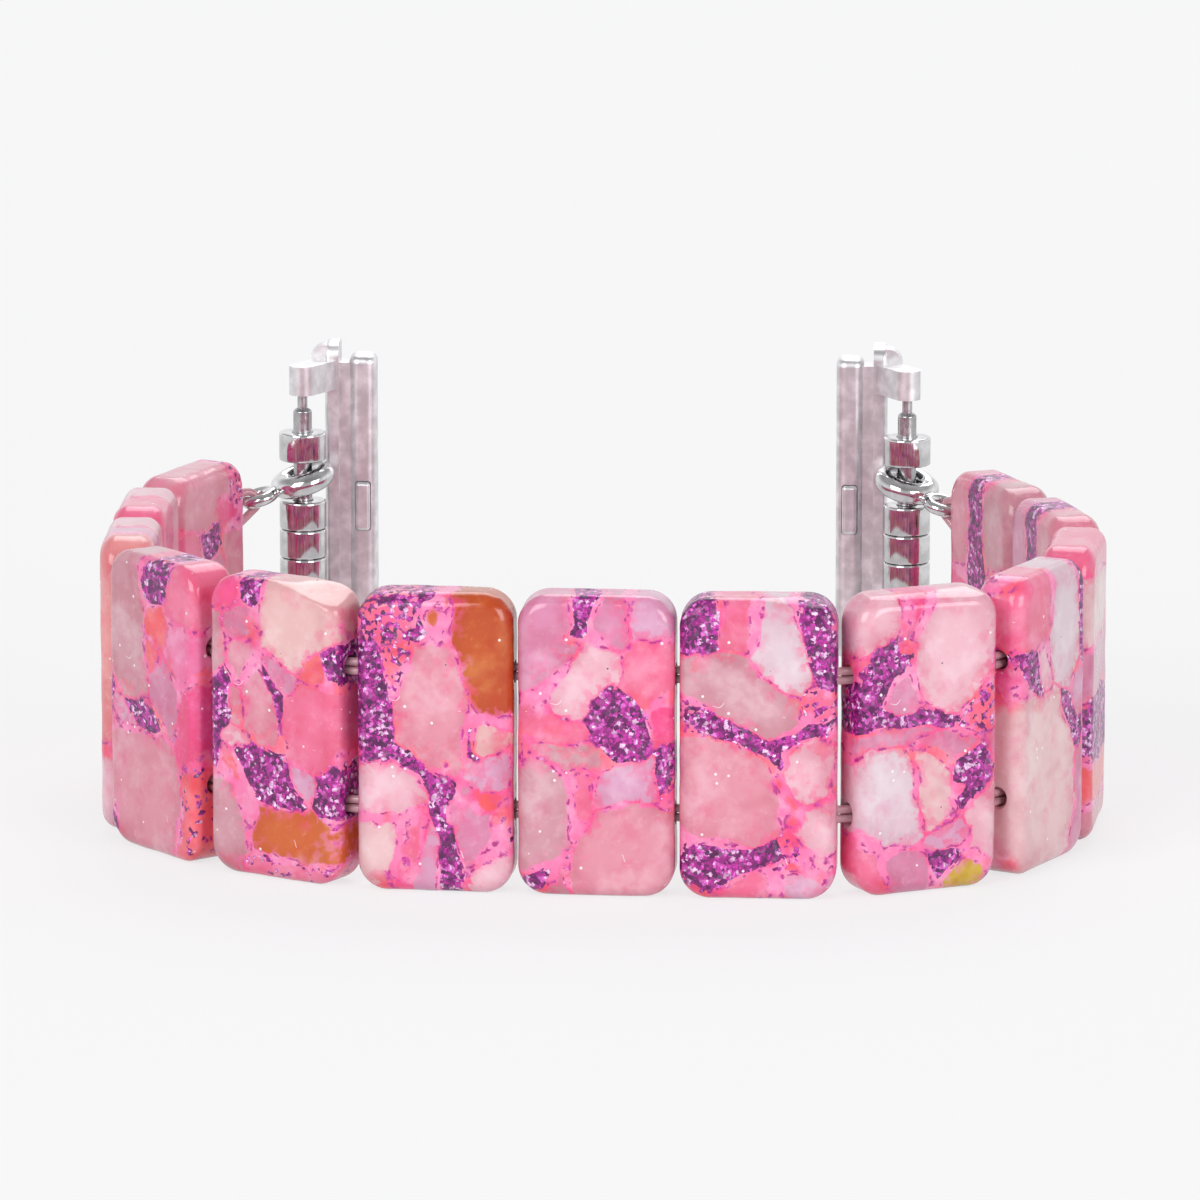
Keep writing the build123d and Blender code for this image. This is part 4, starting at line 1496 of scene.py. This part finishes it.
@dataclass
class Bail:
    """A thick ring on the bar with a small soldered loop that the cord passes through.

    The node's ring, wire and tilt are used only to find its middle on the bar.
    """

    side: str
    level: str
    centre: Vector
    turn: float
    ring: float = 1.78
    ring_wire: float = 0.88
    loop: float = 1.1
    loop_wire: float = 0.5
    solder: float = 0.35
    solder_share: float = 0.95
    solder_form: tuple[float, float, float] = (0.8, 1.5, 1.0)
    tilt_deg: float = 18.0
    node_ring: float = 1.85
    node_wire: float = 0.8
    node_tilt_deg: float = 25.0
    ring_steps: int = 120
    loop_steps: int = 96
    cast_grain: float = 0.07

    @classmethod
    def placed(cls, side: str, level: str) -> "Bail":
        """Reads a bail's place from its box, its bar and its tie.

        Args:
            side: Left or right.
            level: Upper or lower.

        Returns:
            The bail.
        """
        bar = Vector(JOINTS[f"bar_{side}"]["pos_m"])
        tie = Vector(JOINTS[f"tie_{side}"]["pos_m"])
        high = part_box(f"bail_{side}_{level}")[1].z
        half_height = cls.node_ring * math.sin(math.radians(cls.node_tilt_deg)) + cls.node_wire
        centre = Vector((bar.x, bar.y, high - half_height * MM))
        return cls(side, level, centre, math.atan2(tie.y - bar.y, tie.x - bar.x))

    def frame(self) -> Matrix:
        """The bail's own axes: X towards the cord, tilted down from the ring."""
        tilt = Matrix.Rotation(math.radians(self.tilt_deg), 4, "Y")
        return Matrix.Translation(self.centre) @ Matrix.Rotation(self.turn, 4, "Z") @ tilt

    def loop_centre(self) -> float:
        """How far the small loop's middle is from the bar, in millimetres."""
        return self.ring + self.ring_wire + self.loop + self.loop_wire - self.solder

    def tie(self) -> Vector:
        """The middle of the wire that the cord goes round."""
        return self.frame() @ Vector(((self.loop_centre() + self.loop) * MM, 0, 0))

    def torus(
        self, made: bmesh.types.BMesh, middle: float, radius: float, wire: float, steps: int
    ) -> None:
        """Adds one ring of round wire, in the bail's own axes.

        Args:
            made: The geometry that it goes into.
            middle: How far from the bar its middle is, in millimetres.
            radius: The ring's mean radius.
            wire: The wire's radius.
            steps: How many faces the ring has, three times as many as its wire.
        """
        sides = steps // 3
        rings = []
        for step in range(steps):
            around = math.tau * step / steps
            out = Vector((math.cos(around), math.sin(around), 0))
            ring = []
            for side in range(sides):
                angle = math.tau * side / sides
                place = out * (radius + wire * math.cos(angle)) + UP * wire * math.sin(angle)
                ring.append(made.verts.new((place + Vector((middle, 0, 0))) * MM))
            rings.append(ring)
        for ring, following in zip(rings, rings[1:] + rings[:1]):
            for i in range(sides):
                j = (i + 1) % sides
                made.faces.new((ring[i], following[i], following[j], ring[j]))

    def build(self, finish: bpy.types.Material) -> None:
        """Builds the bail as one casting: both rings and the solder between them.

        Args:
            finish: Its material.
        """
        made = bmesh.new()
        self.torus(made, 0, self.ring, self.ring_wire, self.ring_steps)
        self.torus(made, self.loop_centre(), self.loop, self.loop_wire, self.loop_steps)
        radius = self.loop_wire * self.solder_share * MM
        blob = bmesh.ops.create_uvsphere(made, u_segments=24, v_segments=16, radius=radius)
        bmesh.ops.scale(made, vec=self.solder_form, verts=blob["verts"])
        shift = Vector(((self.ring + self.ring_wire) * MM, 0, 0))
        bmesh.ops.translate(made, vec=shift, verts=blob["verts"])
        mesh = cast(settled("bail", made), self.cast_grain * MM)
        name = f"ring_bail_{self.side}_{self.level}"
        node, body = f"bail_{self.side}_{self.level}", f"bails_{self.side}"
        stand_in(name, mesh, finish, node, self.frame(), body)


def cast(mesh: bpy.types.Mesh, grain: float) -> bpy.types.Mesh:
    """Melts crossing forms into one skin.

    Args:
        mesh: The forms, in metres.
        grain: How fine the skin is, in metres.

    Returns:
        The skin.
    """
    loose = bpy.data.objects.new("uncast", mesh)
    bpy.context.scene.collection.objects.link(loose)
    merge = loose.modifiers.new("cast", "REMESH")
    merge.mode = "VOXEL"
    merge.voxel_size = grain
    relax = loose.modifiers.new("flow", "SMOOTH")
    relax.iterations = 6
    relax.factor = 0.5
    return baked(loose)


def baked(piece: bpy.types.Object) -> bpy.types.Mesh:
    """Applies a spare object's modifiers, keeps the mesh and removes the object.

    Args:
        piece: The object, which no other piece needs.

    Returns:
        The shaded mesh.
    """
    bpy.context.view_layer.update()
    graph = bpy.context.evaluated_depsgraph_get()
    mesh = bpy.data.meshes.new_from_object(piece.evaluated_get(graph))
    bpy.data.objects.remove(piece)
    shade(mesh)
    return mesh


@dataclass
class BarSide:
    """What is on one spring bar: spacers, the barrel, its plungers, and the lug adapter."""

    side: str
    spacer_radius: float = 1.9
    spacer_bore: float = 0.85
    spacer_edge: float = 0.2
    spacer_bore_edge: float = 0.1
    barrel_radius: float = 0.75
    barrel_bore: float = 0.55
    barrel_cone: float = 0.2
    barrel_crimp: float = 0.4
    barrel_edge: float = 0.06
    mouth_edge: float = 0.04
    crimp_edge: float = 0.02
    tip_radius: float = 0.4
    tip_clearance: float = 0.05
    head_radius: float = 0.5
    head_length: float = 0.9
    head_edge: float = 0.06
    neck_edge: float = 0.04
    neck_step: float = 0.02
    tip_edge: float = 0.14
    spring_wire: float = 0.16
    spring_turns: int = 14
    turn_steps: int = 16
    leaf_half_width: float = 0.4
    leaf_thickness: float = 0.2
    leaf_steps: int = 24

    def turned(self, name: str, node: str, body: str, slot: str, profile: list[tuple[float, float]],
               finish: bpy.types.Material) -> None:
        """Builds a turned piece round the bar in place of its node.

        Args:
            name: The piece's name.
            node: The node that it stands for.
            body: The body that it rides on.
            slot: Not used.
            profile: Its profile about its own middle, in millimetres.
            finish: Its material.
        """
        place = Matrix.Translation(self.middle(node))
        stand_in(name, lathe(profile), finish, node, place, body)

    def middle(self, node: str) -> Vector:
        """The middle of a node's box."""
        low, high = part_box(node)
        return (low + high) / 2

    def half_length(self, node: str) -> float:
        """Half a node's height, in millimetres."""
        low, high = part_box(node)
        return (high.z - low.z) / 2 / MM

    def spacers(self, finish: bpy.types.Material) -> None:
        """Builds the four spacer tubes.

        Args:
            finish: Their material.
        """
        for number in range(1, 5):
            node = f"spacer_{self.side}_{number}"
            half, inner, outer = self.half_length(node), self.spacer_bore, self.spacer_radius
            profile = round_profile([
                (inner, -half, self.spacer_bore_edge), (outer, -half, self.spacer_edge),
                (outer, half, self.spacer_edge), (inner, half, self.spacer_bore_edge),
            ])
            self.turned(f"tube_{node}", node, node, "spacer_steel", profile, finish)

    def barrel(self, finish: bpy.types.Material) -> None:
        """Builds the bar's barrel, with its crimped ends.

        Args:
            finish: Its material.
        """
        node = f"bar_barrel_{self.side}"
        half, outer, bore = self.half_length(node), self.barrel_radius, self.barrel_bore
        mouth, cone, crimp = self.tip_radius + self.tip_clearance, self.barrel_cone, self.barrel_crimp
        edge, lip, step = self.barrel_edge, self.mouth_edge, self.crimp_edge
        upper = [(outer, half - cone, edge), (outer - cone, half, edge), (mouth, half, lip),
                 (mouth, half - crimp, step), (bore, half - crimp, step)]
        profile = round_profile(upper + [(r, -z, start) for r, z, start in reversed(upper)])
        self.turned(f"sleeve_{self.side}", node, f"adapter_{self.side}", "bar_steel", profile, finish)

    def plungers(self, finish: bpy.types.Material) -> None:
        """Builds both plungers: a head inside the barrel and a tip in the ear.

        Args:
            finish: Their material.
        """
        tip, head = self.tip_radius, self.head_radius
        for level, sign in LEVELS.items():
            node = f"bar_plunger_{self.side}_{level}"
            half = self.half_length(node)
            neck = self.head_length - half
            profile = [(0, -half)]
            profile += rounded((head, -half), (0, -half), (head, neck), self.head_edge)
            profile += rounded((head, neck), (head, -half), (tip, neck), self.neck_edge)
            profile += [(tip, neck + self.neck_step)]
            profile += rounded((tip, half), (tip, -half), (0, half), self.tip_edge)
            profile += [(0, half)]
            profile = [(r, sign * z) for r, z in profile]
            self.turned(f"pin_{self.side}_{level}", node, node, "bar_steel", profile, finish)

    def spring(self, finish: bpy.types.Material) -> None:
        """Winds the bar's spring in two halves, one towards each plunger.

        Args:
            finish: Its material.
        """
        node = f"bar_spring_{self.side}"
        low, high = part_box(node)
        centre = self.middle(node)
        wire = self.spring_wire / 2 * MM
        radius, half = (high.x - low.x) / 2 - wire, (high.z - low.z) / 2 - wire
        steps = self.spring_turns // 2 * self.turn_steps
        for level, sign in LEVELS.items():
            line = []
            for step in range(steps + 1):
                angle = math.tau * step / self.turn_steps
                around = Vector((math.cos(angle), math.sin(angle), 0)) * radius
                line.append(centre + around + UP * (sign * half * step / steps))
            mesh = settled(node, tube(line, wire, 10), TUBE_CREASE_DEG)
            piece = stand_in(f"coil_{self.side}_{level}", mesh, finish, node)
            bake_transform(piece)

    def leaf(self, finish: bpy.types.Material) -> None:
        """Bends the leaf under the lock tab.

        Args:
            finish: Its material.
        """
        node = f"lock_spring_{self.side}"
        low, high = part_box(node)
        press = JOINTS[f"press_lock_tab_{self.side}"]
        inward = Vector(press["axis"]).normalized()
        across = inward.cross(UP)
        span = (high.z - low.z) / 2
        middle = self.middle(node)
        wide = self.leaf_half_width * MM
        rise = (high.y - low.y - abs(across.y) * wide * 2) / abs(inward.y) / 2
        radius = (span**2 + (2 * rise) ** 2) / (4 * rise)
        made = bmesh.new()
        rows = []
        steps, thick = self.leaf_steps, self.leaf_thickness * MM
        for step in range(steps + 1):
            angle = math.asin(span / radius) * (2 * step / steps - 1)
            row = []
            for r, side in ((radius, -1), (radius, 1), (radius - thick, 1), (radius - thick, -1)):
                out = inward * (radius - rise - r * math.cos(angle))
                row.append(made.verts.new(middle + out + UP * r * math.sin(angle) + across * wide * side))
            rows.append(row)
        for row, following in zip(rows, rows[1:]):
            for i in range(4):
                j = (i + 1) % 4
                made.faces.new((row[i], row[j], following[j], following[i]))
        made.faces.new(list(reversed(rows[0])))
        made.faces.new(rows[-1])
        bmesh.ops.recalc_face_normals(made, faces=made.faces)
        piece = stand_in(f"leaf_{self.side}", settled(node, made), finish, node)
        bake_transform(piece)

    def build(
        self, bright: bpy.types.Material, plain: bpy.types.Material, brushed: bpy.types.Material
    ) -> None:
        """Builds and dresses everything on this bar.

        Args:
            bright: The finish of the spacers and bails.
            plain: The finish of the bar.
            brushed: The finish of the adapter.
        """
        self.spacers(bright)
        self.barrel(plain)
        self.plungers(plain)
        self.spring(plain)
        self.leaf(plain)
        for node in ("lug_adapter", "lock_tab"):
            dress(f"{node}_{self.side}", brushed)
        for level in LEVELS:
            Bail.placed(self.side, level).build(bright)


def dress(node: str, finish: bpy.types.Material) -> None:
    """Gives a node of the frame its finish.

    Args:
        node: The node.
        finish: Its material.
    """
    piece = frame["nodes"][node]
    piece.data.materials.clear()
    piece.data.materials.append(finish)
    log.info("%s: dressed", node)


@dataclass
class Knots:
    """The knots of both cords, in the pockets of the last bead on the right."""

    thickness: float = 0.3
    radius: float = 0.34
    lobe_share: float = 0.38
    half_length: float = 0.42
    steps: int = 120

    def build(self, finish: bpy.types.Material) -> None:
        """Ties both knots where the frame holds them.

        Args:
            finish: The cords' material.
        """
        for level in LEVELS:
            node = f"cord_knot_{level}"
            low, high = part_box(node)
            turn = Matrix.Rotation(math.atan2(high.y - low.y, high.x - low.x), 4, "Z")
            line = []
            for step in range(self.steps + 1):
                t = math.tau * step / self.steps
                ring = self.radius * (1 + self.lobe_share * math.cos(3 * t))
                along = self.half_length * math.sin(3 * t)
                line.append(Vector((along, ring * math.cos(2 * t), ring * math.sin(2 * t))) * MM)
            mesh = settled(node, tube(line, self.thickness / 2 * MM, 12), TUBE_CREASE_DEG)
            place = Matrix.Translation((low + high) / 2) @ turn
            stand_in(f"tied_{node}", mesh, finish, node, place, "bead_right_6")


@dataclass
class Studio:
    """The floor, the soft lights and the camera."""

    LAMPS: ClassVar[dict[str, tuple[tuple[float, float, float], float, float]]] = {
        "key": ((-0.5, -0.75, 0.5), 0.6, 5.2),
        "fill": ((0.6, -0.7, 0.3), 0.5, 3.6),
        "rim": ((0.1, 0.6, 0.7), 0.6, 3.0),
    }

    floor_half_m: float = 3.0
    floor_drop_mm: float = 0.02
    lamp_aim_m: float = 0.012
    floor_shade: tuple[float, float, float, float] = (0.89, 0.89, 0.9, 1)
    floor_seen_in_steel: tuple[float, float, float, float] = (0.25, 0.25, 0.25, 1)
    floor_to_camera: tuple[float, float, float, float] = (0.22, 0.22, 0.22, 1)
    floor_glow_share: float = 0.785
    floor_gleam_share: float = 0.64
    sky_share: float = 0.24
    sky_rise_share: float = 0.18
    wall_share: float = 0.7
    wall_rise_share: float = 0.4
    ceiling_fall_share: float = 0.55
    pale: tuple[int, int, int] = (247, 247, 248)
    camera_x_mm: float = -0.386
    camera_back_mm: float = 710.9
    camera_up_mm: float = 161.86
    pitch_deg: float = 11.58
    focal_px: float = 9312.0
    frame_px: float = 1200.0
    sensor_mm: float = 36.0
    clip_m: float = 20.0

    def floor(self) -> None:
        """Lays the pale floor: lit where the band shades it, and pale to the camera."""
        mesh = bpy.data.meshes.new("floor")
        half = self.floor_half_m
        corners = [(-half, -half, 0), (half, -half, 0), (half, half, 0), (-half, half, 0)]
        mesh.from_pydata(corners, [], [(0, 1, 2, 3)])
        material, g, shader = new_material("pale_floor")
        path = g.node("ShaderNodeLightPath").outputs
        lit = g.blend(path["Is Glossy Ray"], self.floor_shade, self.floor_seen_in_steel)
        seen = path["Is Camera Ray"]
        g.feed(shader.inputs["Base Color"], g.blend(seen, lit, self.floor_to_camera))
        shader.inputs["Emission Color"].default_value = linear(self.pale)
        glow = g.math("MULTIPLY", seen, self.floor_glow_share)
        gleam = g.plus(glow, path["Is Glossy Ray"], self.floor_gleam_share)
        g.feed(shader.inputs["Emission Strength"], gleam)
        shader.inputs["Roughness"].default_value = 0.9
        shader.inputs["Specular IOR Level"].default_value = 0.0
        piece = mesh_object("floor", mesh, material)
        piece.location.z = -self.floor_drop_mm * MM

    def lamp(self, name: str, place: tuple[float, float, float], size: float, watts: float) -> None:
        """Hangs a soft box that faces the band.

        Args:
            name: The lamp's name.
            place: Where it hangs, in metres.
            size: Its side, in metres.
            watts: Its power.
        """
        data = bpy.data.lights.new(name, "AREA")
        data.energy = watts
        data.size = size
        lamp = bpy.data.objects.new(name, data)
        bpy.context.scene.collection.objects.link(lamp)
        lamp.location = place
        aim = UP * self.lamp_aim_m - Vector(place)
        lamp.rotation_euler = aim.to_track_quat("-Z", "Y").to_euler()

    def world(self) -> None:
        """Makes the surroundings: pale to the camera, a soft even light to the band."""
        world = bpy.data.worlds.new("studio")
        bpy.context.scene.world = world
        world.use_nodes = True
        g = Graph(world.node_tree)
        back = world.node_tree.nodes["Background"]
        back.inputs["Color"].default_value = linear(self.pale)
        path = g.node("ShaderNodeLightPath").outputs
        seen = g.math("MAXIMUM", path["Is Camera Ray"], path["Is Transmission Ray"])
        way = g.node("ShaderNodeTexCoord").outputs["Generated"]
        front, height = g.node("ShaderNodeSeparateXYZ", {0: way}).outputs[1:]
        sky = g.plus(self.sky_share, g.ease(height, -0.1, 0.9), self.sky_rise_share)
        walls = g.plus(self.wall_share, g.ease(front, -0.9, 0.1), self.wall_rise_share)
        ceiling = g.flip(g.math("MULTIPLY", g.ease(height, 0.25, 0.7), self.ceiling_fall_share))
        gleam = g.math("SUBTRACT", g.math("MULTIPLY", walls, ceiling), sky)
        sky = g.plus(sky, path["Is Glossy Ray"], gleam)
        g.feed(back.inputs["Strength"], g.plus(sky, seen, g.flip(sky)))

    def camera(self) -> None:
        """Sets the camera at the photograph's place and angle."""
        data = bpy.data.cameras.new("camera")
        data.sensor_width = self.sensor_mm
        data.lens = self.focal_px * self.sensor_mm / self.frame_px
        data.clip_end = self.clip_m
        camera = bpy.data.objects.new("camera", data)
        bpy.context.scene.collection.objects.link(camera)
        camera.location = Vector((self.camera_x_mm, -self.camera_back_mm, self.camera_up_mm)) * MM
        camera.rotation_euler = (math.radians(90 - self.pitch_deg), 0, 0)
        bpy.context.scene.camera = camera

    def build(self) -> None:
        """Builds the whole studio."""
        self.camera()
        self.world()
        self.floor()
        for name, (place, size, watts) in self.LAMPS.items():
            self.lamp(name, place, size, watts)
        bpy.context.scene.view_settings.view_transform = "Standard"


def main() -> None:
    """Builds the studio, then the band, piece by piece."""
    Studio().build()
    effects = Effects()
    row = BeadRow(effects)
    row.build()
    elastic = ElasticFinish().build(effects)
    CordRow(row).build(elastic)
    Knots().build(elastic)
    bright = SteelFinish("polished_steel", (232, 231, 232), 0.08, 0.5).build(effects)
    plain = SteelFinish("drawn_steel", (200, 200, 202), 0.2, 1.4).build(effects)
    brushed = SteelFinish("adapter_steel", (250, 248, 250), 0.4, 0.2).build(effects)
    for side in SIDES:
        BarSide(side).build(bright, plain, brushed)


if __name__ == "__main__":
    main()
